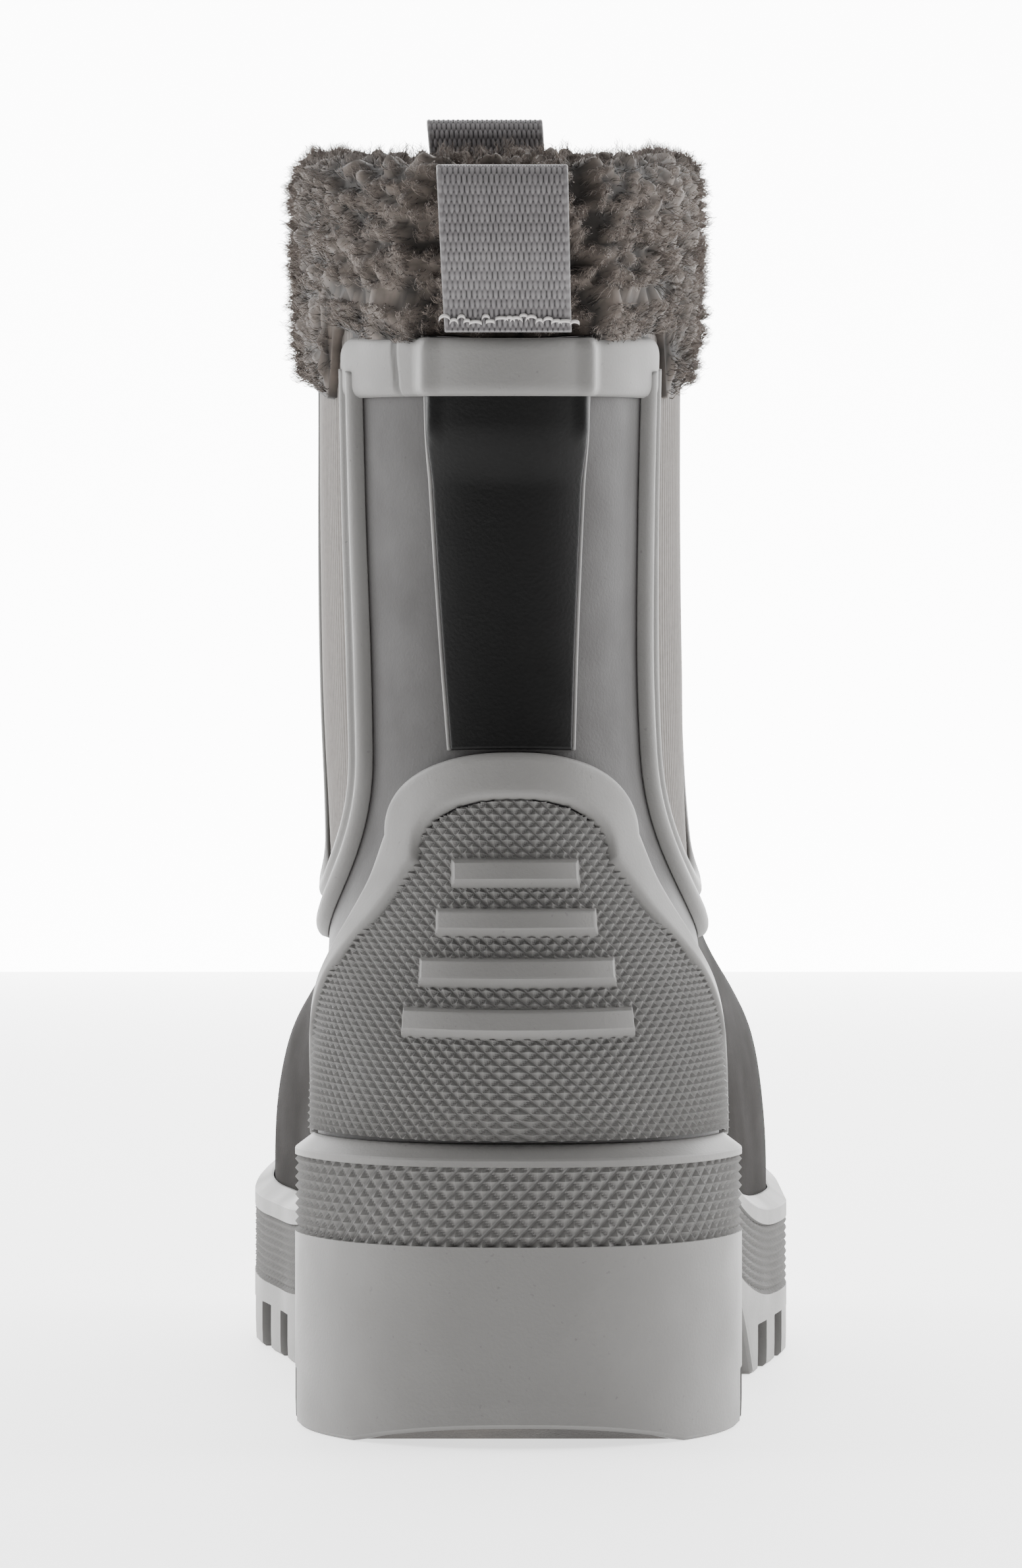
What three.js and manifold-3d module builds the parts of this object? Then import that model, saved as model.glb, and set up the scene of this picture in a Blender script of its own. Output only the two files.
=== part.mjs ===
// A right-foot deck boot: pull-on rubber boot with elastic side gores, a pile cuff and a lugged sole.
// Millimetres, +Z up, toe towards +Y, outer side of the foot towards +X.
// While it is modelled, y = 0 is the back of the sole; the finished group is then centred over z = 0.
import * as THREE from 'three';
import Module from 'manifold-3d';
import { mergeVertices } from 'three/addons/utils/BufferGeometryUtils.js';

const wasm = await Module();
wasm.setup();

// ---- Driving sizes ----
const gap = 0.3; // clearance between touching pieces
const soleLength = 288;
const heelHalfWidth = 44;
const waistHalfOuter = 45;
const waistHalfInner = 42.5;
const ballHalfOuter = 59.7;
const ballHalfInner = 59.5;
const sidewallThickness = 4.2;
const rimChamfer = 3.8;
const rimHeel = 57.3; // height of the sole rim at the heel, the ball and the toe
const rimBall = 36;
const rimToe = 47;
const archHeight = 18; // underside of the waist above the ground
const heelLength = 88;
const ballStart = 128; // where the forefoot tread starts
const toeSpring = 13;
const heelBevel = 5.3;
const lugDepth = 10;
const lugGap = 7;
const toplineBack = 210.5;
const toplineFront = 232;
const shaftHalfWidth = 35.3;
const shaftBack = 15; // y of the shaft's back and front at the topline
const shaftFront = 140;
const rubber = 3.3; // bonded rubber and backing cloth
const stiffener = 1;
const lining = 2.4;
const gorePlane = 74.5; // y of the middle of the gores
const goreHalf = 25;
const goreFoot = 107.5; // lowest visible point of the gores
const goreRound = 132; // height where their rounded foot starts
const pipingWidth = 8.5;
const pipingFoot = 13.3; // wider round the gore's foot
const pipingThickness = 2.3;
const bindingHeight = 11;
const bindingThickness = 1.8;
const webbingWidth = 25;
const webbingThickness = 1.5;
const anchorDepthBack = 20; // how far each loop's ends run down inside the boot
const anchorDepthFront = 9;
const loopHeightBack = 32;
const loopHeightFront = 36;
const stripThickness = 0.8;
const stripHalfTop = 15.5;
const stripHalfFoot = 11.3;
const counterThickness = 2.2;
const counterTop = 131.5;
const cuffHeightBack = 34;
const cuffHeightFront = 28;
const cuffThickness = 5;
const cuffOverhang = 5.6;
const cuffSkirt = 16; // how far the cuff hangs over the gores
const pile = 2.6; // thickness of the pile cloth in the cuff

// ---- Small mathematics ----
const lerp = (a, b, k) => a + (b - a) * k;
const clamp01 = (k) => Math.min(1, Math.max(0, k));
const step = (a, b, v) => {
  const k = clamp01((v - a) / (b - a));
  return k * k * (3 - 2 * k);
};

// A smooth function through knots [place, value]: cubic Hermite with finite-difference slopes.
function smooth(knots) {
  const x = knots.map((k) => k[0]);
  const v = knots.map((k) => k[1]);
  const n = x.length;
  const secant = (i) => (v[i + 1] - v[i]) / (x[i + 1] - x[i]);
  const slope = x.map((_, i) => {
    if (i === 0) return secant(0);
    if (i === n - 1) return secant(n - 2);
    return secant(i - 1) * secant(i) <= 0 ? 0 : (secant(i - 1) + secant(i)) / 2;
  });
  return (at) => {
    const p = Math.min(x[n - 1], Math.max(x[0], at));
    let i = 0;
    while (i < n - 2 && p > x[i + 1]) i += 1;
    const h = x[i + 1] - x[i];
    const s = (p - x[i]) / h;
    const s2 = s * s;
    const s3 = s2 * s;
    return (
      (2 * s3 - 3 * s2 + 1) * v[i] + (s3 - 2 * s2 + s) * h * slope[i] +
      (3 * s2 - 2 * s3) * v[i + 1] + (s3 - s2) * h * slope[i + 1]
    );
  };
}

// ---- Sole outline: half widths and heights along the foot ----
const L = soleLength;
const outlineOuter = smooth([
  [0, heelHalfWidth * 0.97], [0.16 * L, heelHalfWidth], [0.36 * L, waistHalfOuter],
  [0.5 * L, lerp(waistHalfOuter, ballHalfOuter, 0.6)], [0.63 * L, ballHalfOuter],
  [0.78 * L, ballHalfOuter * 0.98], [0.9 * L, ballHalfOuter * 0.92], [L, ballHalfOuter * 0.85],
]);
const outlineInner = smooth([
  [0, heelHalfWidth * 0.97], [0.16 * L, heelHalfWidth], [0.38 * L, waistHalfInner],
  [0.55 * L, lerp(waistHalfInner, ballHalfInner, 0.5)], [0.71 * L, ballHalfInner],
  [0.83 * L, ballHalfInner * 0.99], [0.93 * L, ballHalfInner * 0.97], [L, ballHalfInner * 0.93],
]);
const rimHeight = smooth([
  [0, rimHeel], [0.2 * L, rimHeel - 1.5], [0.32 * L, lerp(rimHeel, rimBall, 0.4)], [0.47 * L, rimBall + 1.6],
  [0.62 * L, rimBall], [0.76 * L, lerp(rimBall, rimToe, 0.25)], [0.9 * L, lerp(rimBall, rimToe, 0.8)], [L, rimToe],
]);

// ---- The upper's outer surface: tilted rings from the rim (t = 0) to the topline (t = 1) ----
const edge = sidewallThickness + gap; // the upper stands this far inside the sole outline
const profile = {
  backY: smooth([[0, edge], [0.1, 3.6], [0.25, 6], [0.4, 12], [0.55, 17], [0.7, 18.5], [0.85, 17], [1, shaftBack]]),
  backZ: smooth([
    [0, rimHeel], [0.1, rimHeel + 7], [0.25, rimHeel + 22], [0.4, 98], [0.55, 119], [0.7, 146],
    [0.85, lerp(146, toplineBack, 0.5)], [1, toplineBack],
  ]),
  frontY: smooth([
    [0, L - edge], [0.07, L - edge - 1], [0.16, L - 22], [0.27, 240], [0.38, 212], [0.48, 186], [0.57, 163],
    [0.66, 148], [0.78, 141], [0.88, 139], [1, shaftFront],
  ]),
  frontZ: smooth([
    [0, rimToe], [0.07, rimToe + 12], [0.16, 74], [0.27, 84], [0.38, 93], [0.48, 103], [0.57, 117],
    [0.66, 135], [0.78, 165], [0.88, 196], [1, toplineFront],
  ]),
  backArc: smooth([[0, 41.5], [0.3, 50], [0.6, 70], [1, 70]]),
  frontArc: smooth([[0, 76], [0.15, 84], [0.3, 84], [0.45, 66], [0.6, 46], [1, 42]]),
  backPower: smooth([[0, 0.8], [0.3, 0.95], [0.6, 1], [1, 1]]),
  frontPower: smooth([[0, 0.82], [0.3, 0.8], [0.6, 0.95], [1, 1]]),
};
const shaftHalf = smooth([[0, shaftHalfWidth], [60, shaftHalfWidth + 0.2], [90, shaftHalfWidth + 1.1], [150, shaftHalfWidth]]);

// The place along the foot, and the share of the half width, of the angle phi round a ring.
function ringPoint(phi, back, front, backArc, frontArc, backPower, frontPower) {
  const a = Math.PI - Math.abs(Math.PI - phi);
  if (a < Math.PI / 3) {
    const turn = 1.5 * a;
    return { y: front - frontArc * (1 - Math.cos(turn)), share: Math.sin(turn) ** frontPower };
  }
  if (a < (2 * Math.PI) / 3) {
    const k = a / (Math.PI / 3) - 1;
    return { y: lerp(front - frontArc, back + backArc, k), share: 1 };
  }
  const turn = 1.5 * (Math.PI - a);
  return { y: back + backArc * (1 - Math.cos(turn)), share: Math.max(0, Math.sin(turn)) ** backPower };
}

// The angle whose point lies at y on ring t.
function angleAt(y, t) {
  const ring = Math.max(0, t);
  const back = profile.backY(ring);
  const front = profile.frontY(ring);
  const backArc = profile.backArc(ring);
  const frontArc = profile.frontArc(ring);
  if (y < back + backArc) return Math.PI - Math.acos(Math.max(-1, 1 - (y - back) / backArc)) / 1.5;
  if (y > front - frontArc) return Math.acos(Math.max(-1, 1 - (front - y) / frontArc)) / 1.5;
  return (Math.PI / 3) * (1 + (front - frontArc - y) / (front - frontArc - back - backArc));
}

const tuck = 6; // the upper's edge inside the sole, reached at t = -1

// The shaft leans towards the inner side of the foot, and turns a little inwards as it goes forward.
const lean = (y, z) => -2 * step(57, 190, z) - 0.02 * (y - 17) * step(60, 150, z);

// A point of the upper's outer surface. phi runs from the toe over the outer side to the heel and back.
function onUpper(phi, t) {
  const ring = Math.max(0, t);
  const around = ((phi % (2 * Math.PI)) + 2 * Math.PI) % (2 * Math.PI);
  const { y, share } = ringPoint(
    around, profile.backY(ring), profile.frontY(ring), profile.backArc(ring), profile.frontArc(ring),
    profile.backPower(ring), profile.frontPower(ring),
  );
  const outer = around < Math.PI;
  const foot = (outer ? outlineOuter(y) : outlineInner(y)) - edge;
  const narrowing = step(0.02, 0.62, ring) * lerp(1, 0.86, step(0.3, 0.6, y / L) * (1 - step(0.35, 0.6, ring)));
  const half = lerp(foot, shaftHalf(y), narrowing);
  const k = (y - profile.backY(ring)) / (profile.frontY(ring) - profile.backY(ring));
  const straight = lerp(profile.backZ(ring), profile.frontZ(ring), k);
  const followsRim = (rimHeight(y) - lerp(rimHeel, rimToe, k)) * (1 - ring) ** 5;
  const z = straight + followsRim + Math.min(0, t) * tuck;
  return new THREE.Vector3((outer ? 1 : -1) * half * share + lean(y, z), y, z);
}

// The same point moved outwards by offset: level at and below the rim, along the surface normal above it.
function upperPoint(phi, t, offset) {
  const d = 0.01;
  const ring = Math.max(0, Math.min(1, t));
  const along = onUpper(phi + d, ring).sub(onUpper(phi - d, ring));
  const up = onUpper(phi, Math.min(1, ring + d)).sub(onUpper(phi, Math.max(0, ring - d)));
  const normal = t <= 0 ? new THREE.Vector3(-along.y, along.x, 0) : up.cross(along);
  return onUpper(phi, t).addScaledVector(normal.normalize(), offset);
}

// The ring t that passes at height z through the upper's side at y.
function ringAt(y, z) {
  let low = -1;
  let high = 1;
  for (let i = 0; i < 24; i += 1) {
    const t = (low + high) / 2;
    if (onUpper(angleAt(y, t), t).z < z) low = t;
    else high = t;
  }
  return (low + high) / 2;
}

// ---- Meshes ----
// A closed solid between two grids of points, as at(i, j, side) with side 0 inside and 1 outside.
// i runs round (and closes if ringClosed), j runs up.
function skin(columns, rows, at, ringClosed = false) {
  const points = [];
  const across = ringClosed ? columns : columns + 1;
  for (const side of [0, 1]) {
    for (let j = 0; j <= rows; j += 1) {
      for (let i = 0; i < across; i += 1) points.push(at(i / columns, j / rows, side));
    }
  }
  const index = (i, j, side) => (side * (rows + 1) + j) * across + (ringClosed ? i % columns : i);
  const faces = [];
  const quad = (a, b, c, d) => faces.push(a, b, c, a, c, d);
  for (let j = 0; j < rows; j += 1) {
    for (let i = 0; i < columns; i += 1) {
      quad(index(i, j, 1), index(i, j + 1, 1), index(i + 1, j + 1, 1), index(i + 1, j, 1));
      quad(index(i, j, 0), index(i + 1, j, 0), index(i + 1, j + 1, 0), index(i, j + 1, 0));
    }
  }
  for (let i = 0; i < columns; i += 1) {
    quad(index(i, 0, 1), index(i + 1, 0, 1), index(i + 1, 0, 0), index(i, 0, 0));
    quad(index(i, rows, 0), index(i + 1, rows, 0), index(i + 1, rows, 1), index(i, rows, 1));
  }
  if (!ringClosed) {
    for (let j = 0; j < rows; j += 1) {
      quad(index(0, j, 0), index(0, j + 1, 0), index(0, j + 1, 1), index(0, j, 1));
      quad(index(columns, j, 1), index(columns, j + 1, 1), index(columns, j + 1, 0), index(columns, j, 0));
    }
  }
  return geometryOf(points, faces);
}

// A closed ring swept from a closed section of points, as at(i, k) with k the section's point.
function hoop(columns, sectionPoints, at) {
  const points = [];
  for (let i = 0; i < columns; i += 1) {
    for (let k = 0; k < sectionPoints; k += 1) points.push(at(i / columns, k));
  }
  const faces = [];
  for (let i = 0; i < columns; i += 1) {
    for (let k = 0; k < sectionPoints; k += 1) {
      const a = i * sectionPoints + k;
      const b = i * sectionPoints + ((k + 1) % sectionPoints);
      const c = ((i + 1) % columns) * sectionPoints + ((k + 1) % sectionPoints);
      const d = ((i + 1) % columns) * sectionPoints + k;
      faces.push(a, b, c, a, c, d);
    }
  }
  return geometryOf(points, faces);
}

function geometryOf(points, faces) {
  const geometry = new THREE.BufferGeometry().setFromPoints(points);
  geometry.setIndex(faces);
  const volume = faces.reduce((sum, _, f) => {
    if (f % 3) return sum;
    const [a, b, c] = [points[faces[f]], points[faces[f + 1]], points[faces[f + 2]]];
    return sum + a.dot(b.clone().cross(c));
  }, 0);
  if (volume < 0) {
    for (let f = 0; f < faces.length; f += 3) [faces[f + 1], faces[f + 2]] = [faces[f + 2], faces[f + 1]];
    geometry.setIndex(faces);
  }
  return geometry;
}

// ---- Booleans ----
function solid(geometry) {
  const bare = geometry.clone();
  bare.deleteAttribute('normal');
  bare.deleteAttribute('uv');
  const merged = mergeVertices(bare, 1e-4);
  return new wasm.Manifold(new wasm.Mesh({
    numProp: 3,
    vertProperties: merged.attributes.position.array,
    triVerts: new Uint32Array(merged.index.array),
  }));
}

function geometryFrom(manifold) {
  const mesh = manifold.getMesh();
  return new THREE.BufferGeometry()
    .setAttribute('position', new THREE.BufferAttribute(mesh.vertProperties, 3))
    .setIndex(new THREE.BufferAttribute(mesh.triVerts, 1));
}

// A prism over the sole outline, moved inwards by inset, from z = 0 up to the given height.
const outlineSteps = 72;
const outlinePoint = (phi, inset) => upperPoint(phi, 0, edge - inset);
function outlinePrism(inset, height) {
  const points = Array.from({ length: outlineSteps }, (_, i) => {
    const { x, y } = outlinePoint((i / outlineSteps) * 2 * Math.PI, inset);
    return new THREE.Vector2(x, y);
  });
  return solid(new THREE.ExtrudeGeometry(new THREE.Shape(points), { depth: height, bevelEnabled: false }));
}

// A side profile in (y, z), extruded right across the sole.
const acrossSole = 160;
function sideProfile(shape) {
  const geometry = new THREE.ExtrudeGeometry(shape, { depth: acrossSole, bevelEnabled: false, curveSegments: 8 });
  // The shape's x and y become Y and Z.
  geometry.applyMatrix4(new THREE.Matrix4().set(0, 0, 1, -acrossSole / 2, 1, 0, 0, 0, 0, 1, 0, 0, 0, 0, 0, 1));
  return solid(geometry);
}

// Stations along the sole between two places.
const stations = (from, to, count) => Array.from({ length: count + 1 }, (_, i) => lerp(from, to, i / count));

// Underside of the sole, from the heel to the toe, as a list of (y, z).
function underside() {
  const arch = new THREE.CubicBezierCurve(
    new THREE.Vector2(heelLength, 0), new THREE.Vector2(heelLength + 4, archHeight * 1.3),
    new THREE.Vector2(ballStart - 12, archHeight * 1.05), new THREE.Vector2(ballStart, 0));
  const spring = new THREE.QuadraticBezierCurve(
    new THREE.Vector2(0.72 * L, 0), new THREE.Vector2(0.88 * L, 1.5), new THREE.Vector2(L + 5, toeSpring));
  return [
    new THREE.Vector2(-5, heelBevel + 1.5), new THREE.Vector2(16, 0),
    ...arch.getPoints(10), ...spring.getPoints(8),
  ];
}

// A layer of the sole: the outline prism cut to a band between two lines of points.
function soleLayer(inset, lower, upper) {
  const shape = new THREE.Shape([...lower, ...[...upper].reverse()]);
  return outlinePrism(inset, 80).intersect(sideProfile(shape));
}
const line = (height, from = -5, to = L + 5, count = 18) => (
  stations(from, to, count).map((y) => new THREE.Vector2(y, height(y))));

// ---- Tread: gaps between the lugs, cut in from both sides and along the middle ----
const treadPitch = 21;
function treadCutters() {
  const cutters = [];
  const block = (x, y, width, length, top, angle = 0, bottom = -6) => {
    const geometry = new THREE.BoxGeometry(width, length, top - bottom);
    geometry.rotateZ(angle);
    geometry.translate(x, y, (top + bottom) / 2);
    return solid(geometry);
  };
  const reach = 34;
  for (const side of [-1, 1]) {
    for (let k = 0; k < 6; k += 1) {
      const y = ballStart + 14 + k * treadPitch;
      const rise = Math.max(0, (y - 0.76 * L) / (0.24 * L)) * toeSpring;
      cutters.push(block(side * (ballHalfInner - 6), y - 4, reach, lugGap, lugDepth + rise, side * 0.22));
    }
    for (const y of [30, 58]) cutters.push(block(side * heelHalfWidth, y, 26, lugGap, lugDepth + 1));
  }
  cutters.push(block(0, L * 0.7, lugGap, L * 0.42, lugDepth * 0.7));
  cutters.push(block(0, heelLength, lugGap, heelLength * 0.9, lugDepth * 0.7));
  return cutters;
}

// ---- Sole pieces ----
const outsoleTop = smooth([
  [-5, 17], [heelLength - 4, 17], [heelLength + 10, archHeight + 6], [ballStart - 8, archHeight + 5],
  [ballStart + 16, lugDepth + 5], [0.72 * L, lugDepth + 5], [L + 5, lugDepth + 5 + toeSpring],
]);
const plugTop = 34;
const plugEnd = heelLength - 24;
const boardUnder = (y) => rimHeight(y) - tuck + 0.6;
const midsoleTop = (y) => boardUnder(y) - 0.6 - gap;

function cutTread(piece) {
  return treadCutters().reduce((left, cutter) => left.subtract(cutter), piece);
}

function outsole() {
  return geometryFrom(cutTread(soleLayer(edge, underside(), line(outsoleTop))));
}

function sidewall() {
  const section = (phi) => {
    const rim = rimHeight(outlinePoint(phi, 0).y);
    return [
      [0, -8], [0, rim - rimChamfer], [rimChamfer, rim], [sidewallThickness, rim], [sidewallThickness, -8],
    ];
  };
  const ring = solid(hoop(outlineSteps, 5, (u, k) => {
    const phi = u * 2 * Math.PI;
    const [inset, z] = section(phi)[k];
    const { x, y } = outlinePoint(phi, inset);
    return new THREE.Vector3(x, y, z);
  }));
  const above = new THREE.Shape([...underside(), new THREE.Vector2(L + 5, 80), new THREE.Vector2(-5, 80)]);
  return geometryFrom(cutTread(ring.intersect(sideProfile(above))));
}

function heelPlug() {
  const from = edge + 8;
  const to = plugEnd;
  const lower = line((y) => outsoleTop(y) + gap, from, to, 2);
  return geometryFrom(soleLayer(edge + 8, lower, line(() => plugTop, from, to, 2)));
}

function shankSlot(grow) {
  const half = 8 + grow;
  const from = 46 - grow;
  const to = 148 + grow;
  const lower = line((y) => midsoleTop(y) - 1.5 - grow, from, to, 12);
  const upper = line((y) => midsoleTop(y) + (grow ? 4 : 0), from, to, 12);
  const strip = new THREE.BoxGeometry(2 * half, 2 * L, 200);
  return sideProfile(new THREE.Shape([...lower, ...upper.reverse()])).intersect(solid(strip));
}

function midsole() {
  const body = soleLayer(edge, line((y) => outsoleTop(y) + gap), line(midsoleTop));
  const from = edge + 8 - gap;
  const to = plugEnd + gap;
  const plugRoom = soleLayer(from, line(() => 0, from, to, 2), line(() => plugTop + gap, from, to, 2));
  return geometryFrom(body.subtract(plugRoom).subtract(shankSlot(gap)));
}

// ---- Interior layers ----
const liningOuter = -(rubber + 2 * gap);
const liningInner = liningOuter - lining;
function board() {
  return geometryFrom(soleLayer(edge + rubber + 2 * gap, line(boardUnder), line((y) => boardUnder(y) + 2)));
}
const footbedInset = edge - liningInner + 5 * gap;
const footbedUnder = (y) => boardUnder(y) + 2 + gap;
function footbed(base, thickness, lift) {
  const lower = line((y) => base(y) + lift);
  return geometryFrom(soleLayer(footbedInset, lower, line((y) => base(y) + lift + thickness)));
}

// ---- Gores: their outline seen from the side ----
const goreShare = (z, foot, half) => {
  if (z <= foot) return 0;
  if (z >= goreRound) return half;
  return half * Math.sqrt(Math.max(0, 1 - ((goreRound - z) / (goreRound - foot)) ** 2));
};
// The y, on ring t, of the gore's back (sign -1) or front (+1) edge moved out by grow.
function goreEdge(t, sign, grow) {
  let y = gorePlane;
  for (let i = 0; i < 30; i += 1) {
    const z = onUpper(angleAt(y, t), t).z;
    const half = goreShare(z, goreFoot - grow, goreHalf + grow);
    y = lerp(y, gorePlane + sign * Math.max(half, 0), 0.5);
  }
  return y;
}
const cutGrow = 4; // the opening in the rubber runs this far outside the visible gore
const underPiping = cutGrow - gap;

// Rings shared by every layer of the upper, close together at the toe and round the gores' feet.
const cutRing = ringAt(gorePlane, goreFoot - cutGrow);
const roundRing = ringAt(gorePlane, goreRound);
const rings = [
  -1, 0, 0.04, 0.08, 0.12, 0.16, 0.21, 0.27, 0.33, 0.4,
  ...[0, 0.02, 0.1, 0.25, 0.5, 0.75].map((k) => lerp(cutRing, roundRing, k)),
  ...stations(roundRing, 1, 5),
];
function onRings(columns, from, to, at, ringClosed) {
  const list = rings.filter((t) => t >= from - 1e-6 && t <= to + 1e-6);
  const last = list.length - 1;
  return skin(columns, last, (u, v, side) => at(u, list[Math.round(v * last)], side), ringClosed);
}

// The stiffener patches lie against the inside, where the upper is thinner.
const toePuffRing = 0.21;
const toePuffSide = 0.78;
const heelRing = 0.4;
const heelSide = 0.95;
function innerDepth(phi, t) {
  const fromHeel = Math.abs(phi - Math.PI);
  const fromToe = Math.abs(phi);
  const heel = (1 - step(heelRing, heelRing + 0.03, t)) * (1 - step(heelSide, heelSide + 0.12, fromHeel));
  const toe = (1 - step(toePuffRing, toePuffRing + 0.03, t)) * (1 - step(toePuffSide, toePuffSide + 0.1, fromToe));
  return -rubber + (stiffener + gap) * Math.max(heel, toe);
}

function quarter() {
  return onRings(36, -1, 1, (u, t, side) => {
    const seam = angleAt(goreEdge(t, -1, cutGrow) - gap / 2, t);
    const phi = lerp(seam, 2 * Math.PI - seam, u);
    return upperPoint(phi, t, side ? 0 : innerDepth(phi, t));
  });
}

function vamp() {
  return onRings(40, -1, 1, (u, t, side) => {
    const seam = angleAt(goreEdge(t, 1, cutGrow) + gap / 2, t);
    const phi = lerp(-seam, seam, u);
    return upperPoint(phi, t, side ? 0 : innerDepth(phi, t));
  });
}

function gore(sign) {
  return onRings(10, cutRing + 1e-4, 1, (u, t, side) => {
    const y = lerp(goreEdge(t, -1, underPiping), goreEdge(t, 1, underPiping), u);
    const a = angleAt(y, t);
    return upperPoint(sign > 0 ? a : 2 * Math.PI - a, t, side ? -0.4 : -1.8);
  });
}

// Piping: a band that follows the gore's edge down, round its foot and up, with a bead along each border.
function piping(sign) {
  const bead = [0.5, 0.85, 0.6, 1, 0.5].map((share) => share * pipingThickness);
  return skin(34, 4, (u, v, side) => {
    // The path's own angle: straight legs, then a half ellipse round the foot.
    const legs = 0.32;
    const out = lerp(0.4, pipingWidth, v);
    const half = goreHalf + out;
    const deep = goreRound - goreFoot + out * (pipingFoot / pipingWidth);
    let y;
    let z;
    if (u < legs || u > 1 - legs) {
      const k = u < legs ? u / legs : (1 - u) / legs;
      y = gorePlane + (u < legs ? -1 : 1) * half;
      const high = lerp(toplineBack, toplineFront, (y - shaftBack) / (shaftFront - shaftBack));
      z = lerp(high - bindingHeight - 2.5, goreRound, k);
    } else {
      const turn = ((u - legs) / (1 - 2 * legs)) * Math.PI;
      y = gorePlane - Math.cos(turn) * half;
      z = goreRound - Math.sin(turn) * deep;
    }
    const t = ringAt(y, z);
    const a = angleAt(y, t);
    const height = side ? gap + bead[Math.round(v * 4)] : gap;
    return upperPoint(sign > 0 ? a : 2 * Math.PI - a, t, height);
  });
}

// ---- Overlays on the back and front of the shaft ----
// Half of the angle that spans a half width, at the back or front of ring t.
const spanAngle = (half) => Math.asin(Math.min(0.98, half / shaftHalfWidth)) / 1.5;
const anchorHalf = webbingWidth / 2 + 0.9;
const anchorDepth = (middle) => (middle > 0 ? anchorDepthBack : anchorDepthFront);
const onAnchor = (dPhi, z, top, middle) => (
  (1 - step(spanAngle(anchorHalf), spanAngle(anchorHalf + 2.5), Math.abs(dPhi))) *
  step(top - anchorDepth(middle) - 8.5, top - anchorDepth(middle) - 5, z));
const stripHalf = (z) => lerp(stripHalfFoot, stripHalfTop, clamp01((z - counterTop) / (toplineBack - counterTop)));
const anchorLift = webbingThickness + gap;

function anchor(middle, top) {
  return skin(6, 6, (u, v, side) => {
    const half = spanAngle(webbingWidth / 2);
    const phi = middle + lerp(-half, half, u);
    const t = lerp(tAt(middle, top - anchorDepth(middle)), 1, v);
    return upperPoint(phi, t, side ? gap + webbingThickness : gap);
  });
}

// The ring that crosses the centre line (phi = middle) at height z.
function tAt(middle, z) {
  let low = -1;
  let high = 1;
  for (let i = 0; i < 24; i += 1) {
    const t = (low + high) / 2;
    if (onUpper(middle, t).z < z) low = t;
    else high = t;
  }
  return (low + high) / 2;
}

// Half of the angle the counter spans at height z on the centre line: a bell, wrapping the heel at its foot.
const counterSide = smooth([
  [rimHeel, 1.2], [66, 1.17], [76, 1.06], [86, 0.9], [93, 0.76], [106, 0.555], [116, spanAngle(22.8)],
]);
function counterSpan(z) {
  if (z < 116) return counterSide(z);
  return Math.max(0.12, spanAngle(22.8 * Math.sqrt(Math.max(0, 1 - ((z - 116) / (counterTop - 116)) ** 2.4))));
}

function counter() {
  const top = tAt(Math.PI, counterTop);
  return skin(22, 12, (u, v, side) => {
    const t = lerp(0.01, top, 1 - (1 - v) ** 1.6);
    const half = counterSpan(onUpper(Math.PI, t).z);
    const phi = Math.PI + lerp(-half, half, u);
    const pad = step(0, 0.03, u) * step(0, 0.03, 1 - u);
    return upperPoint(phi, t, 2 * gap + side * counterThickness * lerp(0.6, 1, pad));
  });
}

function backStrip() {
  const low = tAt(Math.PI, counterTop + 0.4);
  return skin(12, 16, (u, v, side) => {
    const t = lerp(low, 1, v);
    const z = onUpper(Math.PI, t).z;
    const half = spanAngle(stripHalf(z));
    const dPhi = lerp(-half, half, u);
    const under = gap + anchorLift * onAnchor(dPhi, z, toplineBack, Math.PI);
    return upperPoint(Math.PI + dPhi, t, side ? under + stripThickness : under);
  });
}

// The topline binding between the two pipings, at the back (middle PI) or the front (middle 0).
function binding(middle, top) {
  const atBack = middle > 0;
  const low = tAt(middle, top - bindingHeight);
  return skin(40, 4, (u, v, side) => {
    const t = lerp(low, 1, v);
    const z = onUpper(middle, t).z;
    const reach = angleAt(gorePlane + (atBack ? -1 : 1) * (goreHalf + gap), t);
    const half = atBack ? Math.PI - reach : reach;
    const dPhi = lerp(-half, half, u);
    const stripEdge = spanAngle(stripHalf(z));
    const onStrip = atBack ? 1 - step(stripEdge, stripEdge + 0.03, Math.abs(dPhi)) : 0;
    const under = gap + (stripThickness + 2 * gap) * onStrip + anchorLift * onAnchor(dPhi, z, top, middle);
    const crown = Math.sin(Math.PI * lerp(0.15, 0.85, v));
    return upperPoint(middle + dPhi, t, side ? under + bindingThickness * crown : under);
  });
}

// ---- Stiffeners and lining ----
function heelStiffener() {
  return onRings(20, 0, heelRing, (u, t, side) => {
    const phi = Math.PI + lerp(-heelSide, heelSide, u) * 0.95;
    return upperPoint(phi, t, side ? -rubber + stiffener : -rubber);
  });
}

function toePuff() {
  return onRings(20, 0, toePuffRing, (u, t, side) => {
    const phi = lerp(-toePuffSide, toePuffSide, u) * 0.98;
    return upperPoint(phi, t, side ? -rubber + stiffener : -rubber);
  });
}

function liningSock() {
  return onRings(44, 0, 1, (u, t, side) => (
    upperPoint(u * 2 * Math.PI, t, side ? liningOuter : liningInner)), true);
}

// ---- Cuff ----
const topline = (phi) => {
  const p = onUpper(phi, 1);
  const out = upperPoint(phi, 1, 1).sub(p).setZ(0).normalize();
  return { p, out, k: clamp01((p.y - shaftBack) / (shaftFront - shaftBack)) };
};
// 1 beside the gores, 0 at the back and the front.
const besideGore = (p) => (
  step(gorePlane - goreHalf + 3, gorePlane - goreHalf + 8, p.y) *
  (1 - step(gorePlane + goreHalf - 8, gorePlane + goreHalf - 3, p.y)));
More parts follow.
